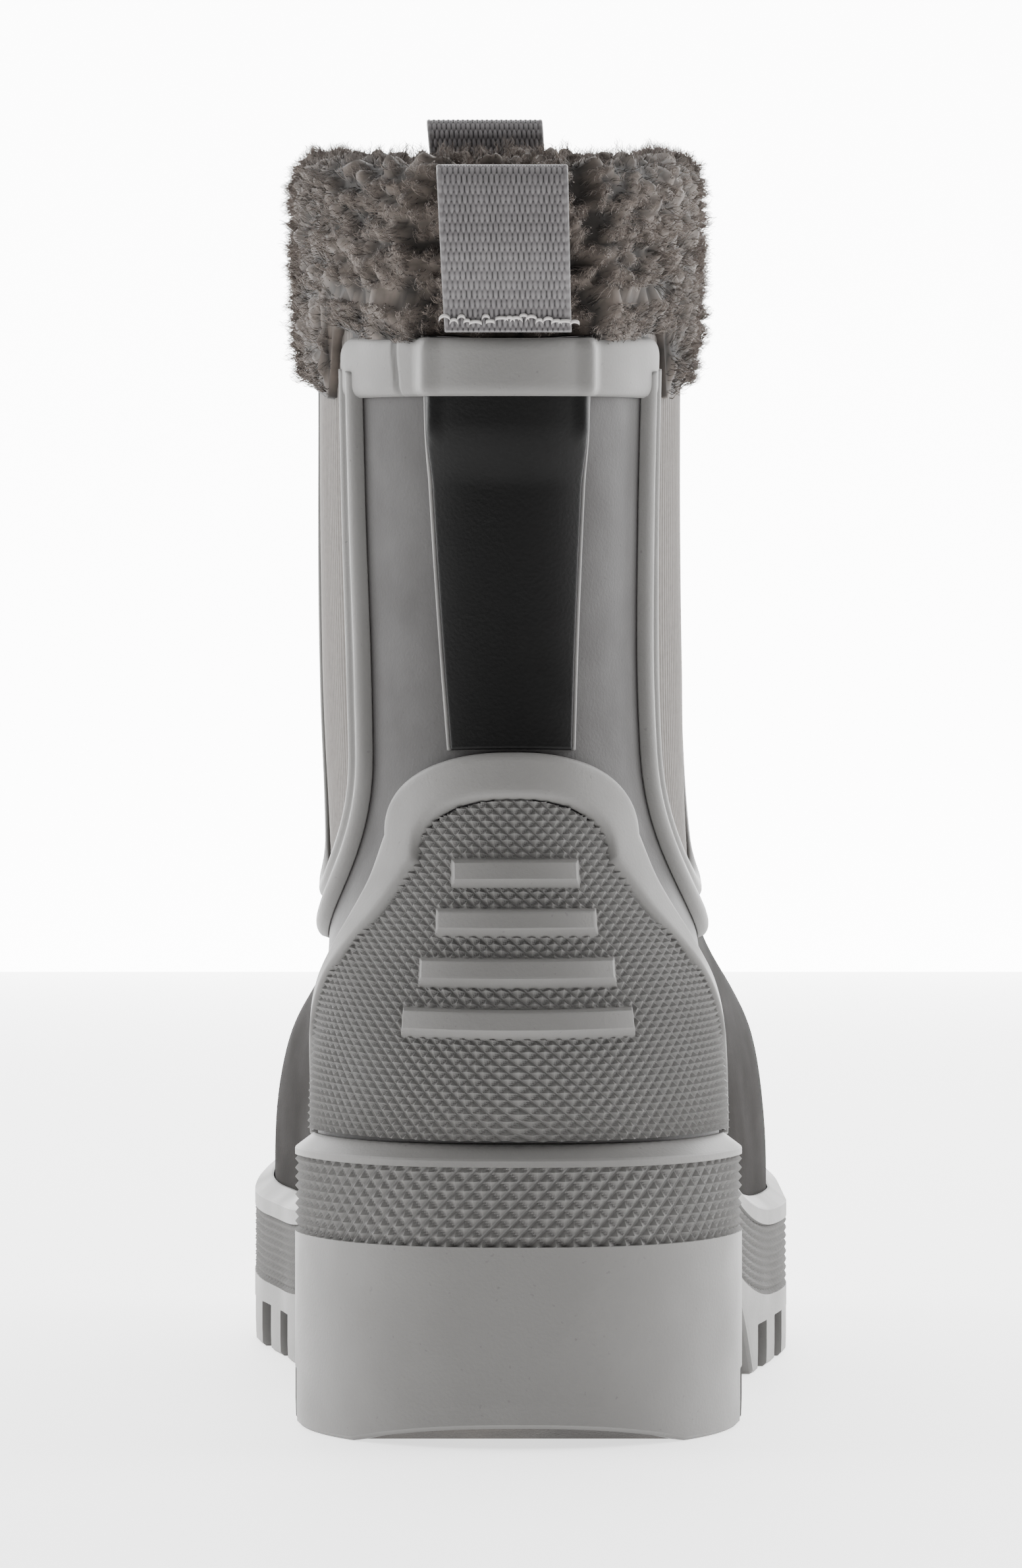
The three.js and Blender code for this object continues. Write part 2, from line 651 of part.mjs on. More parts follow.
// 1 where a pull loop stands against the cuff.
const besideLoop = (p) => {
  const across = 1 - step(webbingWidth / 2 + 0.5, webbingWidth / 2 + 5, Math.abs(p.x - lean(p.y, p.z)));
  return across * (1 - step(shaftBack + 6, shaftBack + 20, p.y) * (1 - step(shaftFront - 20, shaftFront - 6, p.y)));
};

// One section of the cuff: an upside-down U of pile cloth, outside wall, rounded top, inside wall.
function cuffSection(phi, inset) {
  const { p, out, k } = topline(phi);
  const height = lerp(cuffHeightBack, cuffHeightFront, k);
  const skirt = besideGore(p);
  const bulge = lerp(lerp(cuffOverhang - 1.5, cuffOverhang, skirt), 0.4, besideLoop(p));
  const outside = bulge - inset;
  const inside = -cuffThickness - 3.4 + inset;
  const low = inset ? 1.2 : gap;
  const foot = lerp(low, -cuffSkirt, inset ? 0 : skirt);
  const round = 6 - inset;
  const top = height - inset;
  const at = (n, z) => p.clone().addScaledVector(out, n).setZ(p.z + z);
  return { at, outside, inside, foot, low, round, top, skirt };
}

function cuff() {
  return hoop(80, 14, (u, k) => {
    const phi = u * 2 * Math.PI;
    const o = cuffSection(phi, 0);
    const i = cuffSection(phi, pile);
    const seat = lerp(-0.4, gap + 0.3, o.skirt);
    return [
      o.at(o.skirt > 0 ? lerp(o.outside - 2, o.outside - 1, o.skirt) : o.outside - 2, o.foot),
      o.at(o.outside, lerp(o.foot, o.top, 0.3)), o.at(o.outside, o.top - o.round),
      o.at(o.outside - o.round * 0.3, o.top - o.round * 0.3), o.at(o.outside - o.round, o.top),
      o.at(o.inside + o.round, o.top), o.at(o.inside + o.round * 0.3, o.top - o.round * 0.3),
      o.at(o.inside, o.top - o.round), o.at(o.inside, o.low),
      i.at(i.inside, i.low), i.at(i.inside, i.top - 2), i.at(i.outside, i.top - 2),
      i.at(Math.max(seat, i.outside), lerp(i.low, i.top, 0.3)), o.at(seat, o.foot),
    ][k];
  });
}

function cuffFoam() {
  return hoop(80, 6, (u, k) => {
    const phi = u * 2 * Math.PI;
    const f = cuffSection(phi, pile + 2 * gap);
    const wide = Math.max(f.outside - 0.6, f.inside + 2.4);
    return [
      f.at(wide - 0.4, f.low + 3), f.at(wide - 0.4, f.top - 4), f.at(wide - 1.2, f.top - 2.6),
      f.at(f.inside + 1.2, f.top - 2.6), f.at(f.inside + 0.4, f.top - 4), f.at(f.inside + 0.4, f.low + 3),
    ][k];
  });
}

// ---- Pull loops: a strip of webbing folded over, standing on the topline outside the cuff ----
const loopGap = 6.4;
const loopSeat = 1.4;
function loop(middle, height) {
  const { p } = topline(middle);
  const outward = middle > 0 ? -1 : 1;
  // Half of the loop's centre line in (out, up): flat foot, then opening to a round top.
  const reach = loopGap / 2 + webbingThickness / 2;
  const path = (s) => {
    const k = Math.abs(s);
    const up = k < 0.75 ? lerp(0.8, height - reach, k / 0.75) : height - reach + reach * Math.sin(((1 - k) / 0.25 - 1) * -1 * Math.PI / 2);
    const spread = k < 0.75 ? lerp(0.85, reach, step(0, 0.5, k)) : reach * Math.cos(((k - 0.75) / 0.25) * Math.PI / 2);
    return new THREE.Vector2(Math.sign(s) * spread, up);
  };
  const steps = 30;
  return skin(1, steps, (u, v, side) => {
    const fold = lerp(-1, 1, v); // -1 and 1 are the two feet, 0 is the top of the fold
    const s = fold < 0 ? -(1 + fold) : 1 - fold;
    const here = fold === 0 ? new THREE.Vector2(0, height) : path(s || 1e-6 * Math.sign(fold));
    const before = fold < 0 ? path(-(1 + fold) - 0.01) : path(1 - fold + 0.01);
    const tangent = new THREE.Vector2().subVectors(here, before).normalize();
    const sign = fold < 0 ? 1 : -1;
    const normal = new THREE.Vector2(-tangent.y, tangent.x).multiplyScalar(fold === 0 ? 0 : sign);
    if (fold === 0) normal.set(0, 1);
    const q = here.clone().addScaledVector(normal, (side ? 0.5 : -0.5) * webbingThickness);
    const x = p.x + lerp(-webbingWidth / 2, webbingWidth / 2, u);
    return new THREE.Vector3(x, p.y + outward * (loopSeat + reach + q.x), p.z + q.y);
  });
}

// ---- Assembly ----
const paint = (hex, roughness) => new THREE.MeshStandardMaterial({ color: hex, roughness, metalness: 0 });
const finish = {
  lightRubber: paint(0xb9b8b3, 0.62),
  darkRubber: paint(0x4f4d4d, 0.5),
  stripRubber: paint(0x2f2f30, 0.42),
  treadRubber: paint(0x504c48, 0.8),
  goreCloth: paint(0xa39c97, 0.9),
  pileCloth: paint(0x6e655e, 1),
  webbing: paint(0xaaa6a8, 0.7),
  foam: paint(0xd8d4c8, 1),
  board: paint(0x8a7f6c, 0.95),
  steel: paint(0x9a9da0, 0.4),
  liningCloth: paint(0x77706a, 1),
};

const boot = new THREE.Group();
function add(name, geometry, material) {
  const mesh = new THREE.Mesh(geometry, material);
  mesh.name = name;
  boot.add(mesh);
}

add('outsole', outsole(), finish.treadRubber);
add('sidewall', sidewall(), finish.lightRubber);
add('heel_plug', heelPlug(), finish.foam);
add('midsole', midsole(), finish.foam);
add('shank', geometryFrom(shankSlot(0)), finish.steel);
add('insole_board', board(), finish.board);
add('footbed', footbed(footbedUnder, 4, 0), finish.foam);
add('footbed_cover', footbed(footbedUnder, 1, 4 + gap), finish.liningCloth);
add('quarter_shell', quarter(), finish.darkRubber);
add('vamp_shell', vamp(), finish.darkRubber);
add('gore_outer', gore(1), finish.goreCloth);
add('gore_inner', gore(-1), finish.goreCloth);
add('gore_piping_outer', piping(1), finish.lightRubber);
add('gore_piping_inner', piping(-1), finish.lightRubber);
add('heel_counter', counter(), finish.lightRubber);
add('back_strip', backStrip(), finish.stripRubber);
add('back_binding', binding(Math.PI, toplineBack), finish.lightRubber);
add('front_binding', binding(0, toplineFront), finish.lightRubber);
add('heel_stiffener', heelStiffener(), finish.board);
add('toe_puff', toePuff(), finish.board);
add('lining', liningSock(), finish.liningCloth);
add('cuff', cuff(), finish.pileCloth);
add('cuff_foam', cuffFoam(), finish.foam);
add('back_loop_anchor', anchor(Math.PI, toplineBack), finish.webbing);
add('front_loop_anchor', anchor(0, toplineFront), finish.webbing);
add('back_pull_loop', loop(Math.PI, loopHeightBack), finish.webbing);
add('front_pull_loop', loop(0, loopHeightFront), finish.webbing);

// Centre the boot over its own box, standing on z = 0.
const box = new THREE.Box3().setFromObject(boot);
const centre = box.getCenter(new THREE.Vector3());
boot.position.set(-centre.x, -centre.y, -box.min.z);

export default boot;
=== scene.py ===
# %% [markdown]
# # A deck boot with a pile cuff
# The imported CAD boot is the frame. Nearly every piece that shows is built again here, finely, on the
# same master surface as the CAD. That keeps the skins of the upper within a millimetre or two of it.
# All lengths are in mm until a mesh is made, and MM turns them into metres.

# %% Load the frame
import math

import bpy
import numpy as np
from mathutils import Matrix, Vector


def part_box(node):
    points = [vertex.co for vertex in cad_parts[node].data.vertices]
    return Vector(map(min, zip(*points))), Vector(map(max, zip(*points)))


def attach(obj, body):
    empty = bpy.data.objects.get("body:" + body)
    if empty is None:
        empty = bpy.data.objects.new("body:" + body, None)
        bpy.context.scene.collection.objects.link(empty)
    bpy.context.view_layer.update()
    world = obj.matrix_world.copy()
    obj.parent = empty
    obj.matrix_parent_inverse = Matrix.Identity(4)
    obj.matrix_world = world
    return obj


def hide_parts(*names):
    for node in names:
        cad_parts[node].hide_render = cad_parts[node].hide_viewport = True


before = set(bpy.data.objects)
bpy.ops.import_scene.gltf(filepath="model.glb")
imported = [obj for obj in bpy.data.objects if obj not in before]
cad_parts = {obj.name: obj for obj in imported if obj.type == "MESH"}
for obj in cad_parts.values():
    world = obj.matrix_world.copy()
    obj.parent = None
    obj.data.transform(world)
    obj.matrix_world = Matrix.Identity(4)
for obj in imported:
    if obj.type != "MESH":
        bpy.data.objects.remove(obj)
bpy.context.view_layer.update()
LOW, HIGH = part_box("sidewall")
SHIFT = np.array([(LOW[0] + HIGH[0]) / 2, LOW[1], 0.0])

# %% [markdown]
# ## The master surface
# A last-shaped surface made of tilted rings. A ring has a rounded back, two straight sides and a
# rounded toe. Ring 0 runs round the rim of the sole, ring 1 is the topline. Every layer of the upper
# is this surface, moved outwards along its normal, as layers of a lasted boot really are.

# %% Smooth functions through knots
MM = 0.001
L = 288.0
EDGE = 4.5
BACK_TOP, FRONT_TOP = 210.5, 232.0
GORE_Y, GORE_HALF, GORE_FOOT, GORE_ROUND = 74.5, 25.0, 107.5, 132.0


def smooth(knots):
    """Cubic Hermite through (place, value) knots, with the mean of the neighbouring secants as slope."""
    x, v = np.array(knots, float).T
    secant = np.diff(v) / np.diff(x)
    slope = np.r_[secant[0], (secant[1:] + secant[:-1]) / 2, secant[-1]]
    slope[1:-1][secant[1:] * secant[:-1] <= 0] = 0

    def at(place):
        p = np.clip(place, x[0], x[-1])
        i = np.clip(np.searchsorted(x, p, side="right") - 1, 0, len(x) - 2)
        h = x[i + 1] - x[i]
        s = (p - x[i]) / h
        return (
            (2 * s**3 - 3 * s**2 + 1) * v[i]
            + (s**3 - 2 * s**2 + s) * h * slope[i]
            + (3 * s**2 - 2 * s**3) * v[i + 1]
            + (s**3 - s**2) * h * slope[i + 1]
        )

    return at


def mix(a, b, k):
    """a where k is 0, b where k is 1 and a straight blend between."""
    return a + (b - a) * k


def step(a, b, v):
    """0 below a, 1 above b and a smooth S between them."""
    k = np.clip((v - a) / (b - a), 0, 1)
    return k * k * (3 - 2 * k)


# Along the foot: the half widths of the sole's outline and the height of its rim.
outer_half = smooth(
    [
        (0, 42.7), (46.1, 44), (103.7, 45), (144, 53.8),
        (181.4, 59.7), (224.6, 58.5), (259.2, 54.9), (288, 50.7),
    ]
)
inner_half = smooth(
    [
        (0, 42.7), (46.1, 44), (109.4, 42.5), (158.4, 51),
        (204.5, 59.5), (239, 58.9), (267.8, 57.7), (288, 55.3),
    ]
)
rim_height = smooth(
    [
        (0, 57.3), (57.6, 55.8), (92.2, 48.8), (135.4, 37.6),
        (178.6, 36), (218.9, 38.75), (259.2, 44.8), (288, 47),
    ]
)
# Up the rings: where each crosses the back and the front line, and how its two ends are rounded.
back_y = smooth([(0, 4.5), (0.1, 3.6), (0.25, 6), (0.4, 12), (0.55, 17), (0.7, 18.5), (0.85, 17), (1, 15)])
back_z = smooth(
    [
        (0, 57.3), (0.1, 64.3), (0.25, 79.3), (0.4, 98),
        (0.55, 119), (0.7, 146), (0.85, 178.25), (1, 210.5),
    ]
)
toe_rings = [(0, 283.5, 47), (0.07, 282.5, 59), (0.16, 266, 74)]
instep_rings = [(0.27, 240, 84), (0.38, 212, 93), (0.48, 186, 103)]
shin_rings = [(0.57, 163, 117), (0.66, 148, 135), (0.78, 141, 165), (0.88, 139, 196), (1, 140, 232)]
front_rings = toe_rings + instep_rings + shin_rings
front_y = smooth([(ring, y) for ring, y, z in front_rings])
front_z = smooth([(ring, z) for ring, y, z in front_rings])
back_arc = smooth([(0, 41.5), (0.3, 50), (0.6, 70), (1, 70)])
front_arc = smooth([(0, 76), (0.15, 84), (0.3, 84), (0.45, 66), (0.6, 46), (1, 42)])
back_power = smooth([(0, 0.8), (0.3, 0.95), (0.6, 1), (1, 1)])
front_power = smooth([(0, 0.82), (0.3, 0.8), (0.6, 0.95), (1, 1)])
shaft_half = smooth([(0, 35.3), (60, 35.5), (90, 36.4), (150, 35.3)])


def lean(y, z):
    """How far the shaft leans towards the inner side: more with height, and more towards the front."""
    return -2 * step(57, 190, z) - 0.055 * np.clip(y - 17, 0, 40) * step(60, 150, z)


# %% Points and normals of the surface
def on_master(phi, t):
    """Point of the master surface at angle phi (0 toe, pi heel, outer side first) on ring t, in mm.

    A third of the half turn is the toe arc, a third the straight side and a third the heel arc. The
    half width blends from the foot outline at ring 0 to the shaft's half width above."""
    phi, t = np.broadcast_arrays(np.asarray(phi, float), np.asarray(t, float))
    ring = np.maximum(0, t)
    around = np.mod(phi, 2 * np.pi)
    a = np.pi - np.abs(np.pi - around)
    yb, yf, rb, rf = back_y(ring), front_y(ring), back_arc(ring), front_arc(ring)
    third = np.pi / 3
    front_turn = np.clip(1.5 * a, 0, np.pi / 2)
    back_turn = np.clip(1.5 * (np.pi - a), 0, np.pi / 2)
    y = np.where(a < third, yf - rf * (1 - np.cos(front_turn)), mix(yf - rf, yb + rb, a / third - 1))
    y = np.where(a > 2 * third, yb + rb * (1 - np.cos(back_turn)), y)
    share = np.where(a < third, np.sin(front_turn) ** front_power(ring), 1.0)
    share = np.where(a > 2 * third, np.sin(back_turn) ** back_power(ring), share)
    outer = around < np.pi
    foot = np.where(outer, outer_half(y), inner_half(y)) - EDGE
    narrowing = step(0.02, 0.62, ring) * mix(1, 0.86, step(0.3, 0.6, y / L) * (1 - step(0.35, 0.6, ring)))
    half = mix(foot, shaft_half(y), narrowing)
    k = (y - yb) / (yf - yb)
    z = mix(back_z(ring), front_z(ring), k) + (rim_height(y) - mix(57.3, 47, k)) * (1 - ring) ** 5
    z = z + np.minimum(0, t) * 6
    return np.stack([np.where(outer, 1, -1) * half * share + lean(y, z), y, z], -1)


def master(phi, t, offset=0.0):
    """The master point moved outwards by offset along the normal (level at and below the rim)."""
    phi, t, offset = np.broadcast_arrays(*(np.asarray(v, float) for v in (phi, t, offset)))
    d = 0.004
    ring = np.clip(t, 0, 1)
    along = on_master(phi + d, ring) - on_master(phi - d, ring)
    up = on_master(phi, np.minimum(1, ring + d)) - on_master(phi, np.maximum(0, ring - d))
    normal = np.cross(up, along)
    level = np.stack([-along[..., 1], along[..., 0], 0 * along[..., 0]], -1)
    normal = np.where((t <= 0)[..., None], level, normal)
    normal /= np.linalg.norm(normal, axis=-1, keepdims=True) + 1e-12
    return on_master(phi, t) + normal * offset[..., None]


# %% Finding a place on the surface
def angle_at(y, t):
    """The angle, on the outer side, whose point lies at y on ring t."""
    ring = np.maximum(0, t)
    yb, yf, rb, rf = back_y(ring), front_y(ring), back_arc(ring), front_arc(ring)
    side = (np.pi / 3) * (1 + (yf - rf - y) / (yf - rf - yb - rb))
    heel = np.pi - np.arccos(np.clip(1 - (y - yb) / rb, -1, 1)) / 1.5
    toe = np.arccos(np.clip(1 - (yf - y) / rf, -1, 1)) / 1.5
    return np.where(y < yb + rb, heel, np.where(y > yf - rf, toe, side))


def ring_at(y, z):
    """The ring through height z at y, by halving the interval."""
    low, high = np.full(np.shape(z), -1.0), np.ones(np.shape(z))
    for _ in range(26):
        t = (low + high) / 2
        below = on_master(angle_at(y, t), t)[..., 2] < z
        low, high = np.where(below, t, low), np.where(below, high, t)
    return (low + high) / 2


def ring_on_line(middle, z):
    """The ring that crosses the centre line of the back (pi) or the front (0) at height z."""
    low, high = np.full(np.shape(z), -1.0), np.ones(np.shape(z))
    for _ in range(26):
        t = (low + high) / 2
        below = on_master(middle, t)[..., 2] < z
        low, high = np.where(below, t, low), np.where(below, high, t)
    return (low + high) / 2


ball_width = float(outer_half(181.4) + inner_half(204.5))
print("ball width", ball_width, "mm; top of the back line", on_master(np.pi, 1.0).round(1))

# %% [markdown]
# ## Turning grids into pieces
# A sheet of rubber or cloth is two grids of points, its outside and its inside, joined round the
# edge. Quads keep the shading even, and whole-array indexing keeps it quick.

# %% Meshes from grids
def mesh_piece(name, points, faces, material, body="boot", soft=True, marks=None):
    """A piece from points in mm and an array of quads, riding on a body of the frame. Marks are named
    values, one for each point, that the material can read."""
    mesh = bpy.data.meshes.new(name)
    mesh.vertices.add(len(points))
    mesh.vertices.foreach_set("co", (points * MM + SHIFT).astype(np.float32).ravel())
    corners = faces.shape[1]
    mesh.loops.add(faces.size)
    mesh.loops.foreach_set("vertex_index", faces.astype(np.int32).ravel())
    mesh.polygons.add(len(faces))
    mesh.polygons.foreach_set("loop_start", np.arange(0, faces.size, corners, dtype=np.int32))
    mesh.polygons.foreach_set("use_smooth", np.full(len(faces), soft))
    for key, values in (marks or {}).items():
        layer = mesh.attributes.new(key, "FLOAT", "POINT")
        layer.data.foreach_set("value", values.astype(np.float32).ravel())
    mesh.update(calc_edges=True)
    mesh.validate()
    piece = bpy.data.objects.new(name, mesh)
    bpy.context.scene.collection.objects.link(piece)
    mesh.materials.append(material)
    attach(piece, body)
    return piece


def grid_faces(across, up, closed=False, start=0, flip=False):
    """Quads over a grid of across by up points numbered column by column; closed wraps the columns."""
    i = np.arange(across if closed else across - 1)
    j = np.arange(up - 1)
    i, j = np.meshgrid(i, j, indexing="ij")
    n = (i + 1) % across
    quads = np.stack([i * up + j, n * up + j, n * up + j + 1, i * up + j + 1], -1).reshape(-1, 4) + start
    return quads[:, ::-1] if flip else quads


def signed_volume(points, faces):
    """Six times the volume under the quads: positive when they face outwards."""
    a, b, c, d = (points[faces[:, k]] for k in range(4))
    return float((a * np.cross(b, c)).sum() + (a * np.cross(c, d)).sum())


# %% Sheets
def skin_piece(name, outside, inside, material, closed=False, body="boot", marks=None):
    """A closed sheet between two grids shaped (across, up, 3), with walls along its open edges."""
    across, up = outside.shape[:2]
    count = across * up
    points = np.concatenate([outside.reshape(-1, 3), inside.reshape(-1, 3)])
    faces = [grid_faces(across, up, closed), grid_faces(across, up, closed, count, True)]
    rows = np.arange(across if closed else across - 1)
    nxt = (rows + 1) % across
    foot = np.stack([rows * up, rows * up + count, nxt * up + count, nxt * up], -1)
    head = np.stack([rows * up, nxt * up, nxt * up + count, rows * up + count], -1) + up - 1
    faces += [foot, head]
    if not closed:
        col = np.arange(up - 1)
        faces.append(np.stack([col, col + 1, col + 1 + count, col + count], -1))
        last = (across - 1) * up + col
        faces.append(np.stack([last, last + count, last + 1 + count, last + 1], -1))
    faces = np.concatenate(faces)
    if signed_volume(points, faces) < 0:
        faces = faces[:, ::-1]
    if marks:
        marks = {k: np.concatenate([v.ravel()] * 2) for k, v in marks.items()}
    return mesh_piece(name, points, faces, material, body, marks=marks)


def rounded(v, width, radius):
    """How far a sheet's edge is rolled in: 0 at the edge and 1 further in than radius, a quarter circle."""
    d = np.clip(np.minimum(v, 1 - v) * width / radius, 0, 1)
    return np.sqrt(1 - (1 - d) ** 2)


# %% [markdown]
# ## Finishes
# Rubber is a matt to slightly glossy grey with cloudy dust and fine specks, and its bump is tiny.
# Cloth is two tones mottled together, rough, with a little sheen. Every pattern is worked out from
# object coordinates, so it stays put. Where grooves should look deeper than the light makes them, the
# mesh carries a value called painted_shade, from 0 to 1, and the material paints that shade into its colour.

# %% Node helpers
def material_nodes(name):
    """A new material with its node tree and its shader."""
    mat = bpy.data.materials.new(name)
    mat.use_nodes = True
    return mat, mat.node_tree, mat.node_tree.nodes["Principled BSDF"]


def noise_on(tree, scale, detail):
    """Noise over object coordinates."""
    node = tree.nodes.new("ShaderNodeTexNoise")
    node.inputs["Scale"].default_value = scale
    node.inputs["Detail"].default_value = detail
    tree.links.new(tree.nodes.new("ShaderNodeTexCoord").outputs["Object"], node.inputs["Vector"])
    return node.outputs["Fac"]


def ramp_on(tree, source, a, b, low=0.0, high=1.0):
    """Stretches the values from a to b over the range low to high."""
    node = tree.nodes.new("ShaderNodeMapRange")
    for key, value in (("From Min", a), ("From Max", b), ("To Min", low), ("To Max", high)):
        node.inputs[key].default_value = value
    tree.links.new(source, node.inputs["Value"])
    return node.outputs["Result"]


def blend_on(tree, factor, a, b):
    """Colour a where the factor is 0 and b where it is 1; each is a colour or a socket."""
    node = tree.nodes.new("ShaderNodeMix")
    node.data_type = "RGBA"
    for socket, value in ((node.inputs["A"], a), (node.inputs["B"], b)):
        if isinstance(value, tuple):
            socket.default_value = (*value, 1)
        else:
            tree.links.new(value, socket)
    tree.links.new(factor, node.inputs["Factor"])
    return node.outputs["Result"]


def with_painted_shade(tree, tint, color, share):
    """The tint with painted shade: it falls to a share of the base colour where the mesh's painted_shade
    value is 1.
    """
    painted_shade = tree.nodes.new("ShaderNodeAttribute")
    painted_shade.attribute_name = "painted_shade"
    return blend_on(tree, painted_shade.outputs["Fac"], tint, tuple(c * share for c in color))


# %% Rubber
def rubber(
    name, color, rough=0.5, dust=0.25, dust_color=(0.62, 0.6, 0.57), grain=0.04, marks=False, shine=0.5
):
    """Moulded rubber: base colour, cloudy dust, specks, a fine leathery bump and, with marks, painted shade
    in its grooves.
    """
    mat, tree, shader = material_nodes(name)
    tint = blend_on(tree, ramp_on(tree, noise_on(tree, 38, 4), 0.42, 0.68, 0, dust), color, dust_color)
    specks = ramp_on(tree, noise_on(tree, 900, 2), 0.7, 0.76, 0, 0.35)
    tint = blend_on(tree, specks, tint, tuple(c * 0.45 for c in color))
    if marks:
        tint = with_painted_shade(tree, tint, color, 0.3)
    tree.links.new(tint, shader.inputs["Base Color"])
    patchy = ramp_on(tree, noise_on(tree, 60, 4), 0.3, 0.7, rough - 0.06, rough + 0.1)
    tree.links.new(patchy, shader.inputs["Roughness"])
    shader.inputs["Specular IOR Level"].default_value = shine
    bump = tree.nodes.new("ShaderNodeBump")
    bump.inputs["Distance"].default_value = 0.0004
    bump.inputs["Strength"].default_value = grain * 4
    tree.links.new(noise_on(tree, 1500, 3), bump.inputs["Height"])
    tree.links.new(bump.outputs["Normal"], shader.inputs["Normal"])
    return mat


LIGHT = rubber("light_rubber", (0.137, 0.134, 0.129), 0.55, 0.3, (0.175, 0.172, 0.166), marks=True, shine=0.3)
PANEL = rubber("panel_rubber", (0.036, 0.034, 0.0335), 0.6, 0.3, (0.052, 0.05, 0.049), shine=0.25)
VAMP = rubber("vamp_rubber", (0.016, 0.0145, 0.0135), 0.85, 0.15, (0.024, 0.022, 0.0205), shine=0.03)
BLACK = rubber("strip_rubber", (0.004, 0.004, 0.004), 0.42, 0.1, (0.008, 0.008, 0.008), shine=0.1)
SEAM = rubber("seam_line", (0.12, 0.117, 0.114), 0.5, 0.1)
TREAD = rubber("tread_rubber", (0.035, 0.031, 0.028), 0.75, 0.5, (0.12, 0.105, 0.09), 0.3)
print("rubbers", len(bpy.data.materials))


# %% Cloth
def cloth(name, color, second, rough=0.9, sheen=0.2, scale=300.0, marks=False):
    """Fibre: two tones mottled together, rough, with some sheen; marks paint shade into the gaps of a weave
    and the hollows of a pile.
    """
    mat, tree, shader = material_nodes(name)
    tint = blend_on(tree, noise_on(tree, scale, 5), color, second)
    if marks:
        tint = with_painted_shade(tree, tint, color, 0.08)
    tree.links.new(tint, shader.inputs["Base Color"])
    shader.inputs["Roughness"].default_value = rough
    shader.inputs["Sheen Weight"].default_value = sheen
    return mat


GORE = cloth("gore_elastic", (0.085, 0.077, 0.07), (0.15, 0.137, 0.126), 0.85, 0.1, 800)
PILE = cloth("pile_fibre", (0.085, 0.067, 0.055), (0.26, 0.215, 0.184), 0.8, 0.15, 260, marks=True)
PILE_BASE = cloth("pile_base", (0.05, 0.04, 0.033), (0.14, 0.115, 0.098), 0.95, 0.1, 300, marks=True)
WEB = cloth("webbing_yarn", (0.105, 0.099, 0.101), (0.17, 0.161, 0.163), 0.6, 0.05, 500, marks=True)
THREAD = cloth("sewing_thread", (0.36, 0.34, 0.33), (0.5, 0.48, 0.46), 0.7, 0.3, 900)
print("materials", len(bpy.data.materials))

# %% [markdown]
# ## The sole's side wall
# One skin round the whole sole: underside edge, plain wall, a knurled band, the bevelled rim and its
# inner face. The knurl is cut with two sets of grooves at 45 degrees, which leaves four-sided points
# with ridges level and upright. The grid's spacing is an eighth of the knurl's pitch, so that each
# point, ridge and groove falls on grid lines and stays crisp.

# %% Underside and knurl
KNURL = 3.5


def underside(y):
    """Height of the sole's underside: heel bevel, arch between heel and ball, and toe spring."""
    arch = smooth([(88, 0), (90.5, 12), (95, 17), (104, 18.5), (113, 17), (120, 11), (126, 3), (128, 0)])
    heel = np.clip((16 - y) / 21, 0, 1) * 6.8
    toe = np.clip((y - 207) / 86, 0, 1) ** 1.8 * 13.5
    return heel + toe + np.where((y > 88) & (y < 128), arch(y), 0)


def knurl(u, v, pitch=KNURL):
    """Height, 0 to 1, of pointed knurling at u along and v up, in mm: the pyramid over each square
    that the two sets of diagonal grooves enclose, with a narrow flat in the grooves."""
    a, b = (u + v) / pitch, (u - v) / pitch
    fa, fb = np.abs(a - np.round(a)), np.abs(b - np.round(b))
    return np.clip(1 - np.maximum(fa, fb) / 0.42, 0, 1)


def by_length(count, ring=0.0, offset=EDGE):
    """Angles round a ring that part it into equal lengths, starting at the heel."""
    phi = np.linspace(np.pi, 3 * np.pi, 6001)
    path = master(phi, ring, offset)
    length = np.r_[0, np.cumsum(np.linalg.norm(np.diff(path[:, :2], axis=0), axis=1))]
    return np.interp(np.linspace(0, length[-1], count + 1)[:-1], length, phi), length[-1]


# %% Round the wall
_, around_mm = by_length(10)
cells = round(around_mm / KNURL)
columns = cells * 8
phi, _ = by_length(columns)
pitch = around_mm / cells
unit = pitch / 8
plan_y = on_master(phi, 0.0)[:, 1]
rim = rim_height(plan_y)
# The bevel above the band is taller round the forefoot than round the heel.
band_top = rim - mix(4.3, 6.3, step(60, 150, plan_y))
band_rows = 35
band_low = band_top - (band_rows - 1) * unit
low = underside(plan_y)
u = np.arange(columns) * unit
print("knurl points round the sole", cells, "and grid columns", columns)

# %% [markdown]
# The notches are the open ends of the grooves between the lugs. Each is a stretch of columns whose
# lower rows are set back by NOTCH and darkened: painted shade, together with the dark grey rubber of the lugs
# behind, so that it reads as a deep slot.

# %% Rows of the wall
NOTCH, KNURL_DEEP = 4.3, 1.2
notch_y = np.r_[[43.0, 66.0], 138.0 + 21.0 * np.arange(6)]
notch = np.zeros(columns)
for y0 in notch_y:
    notch = np.maximum(notch, np.abs(plan_y - y0) < (3.5 if y0 < 90 else 5.0))
notch_top = np.where(plan_y < 90, 11.0, 10.0) + underside(plan_y)

rows, depth, painted_shade = [], [], []


def row(z, inset, shade=0.0):
    """Adds a ring of points to the wall, at height z, moved inwards by inset and with painted shade."""
    rows.append(np.broadcast_to(z, (columns,)).astype(float))
    depth.append(np.broadcast_to(inset, (columns,)).astype(float))
    painted_shade.append(np.broadcast_to(shade, (columns,)).astype(float))
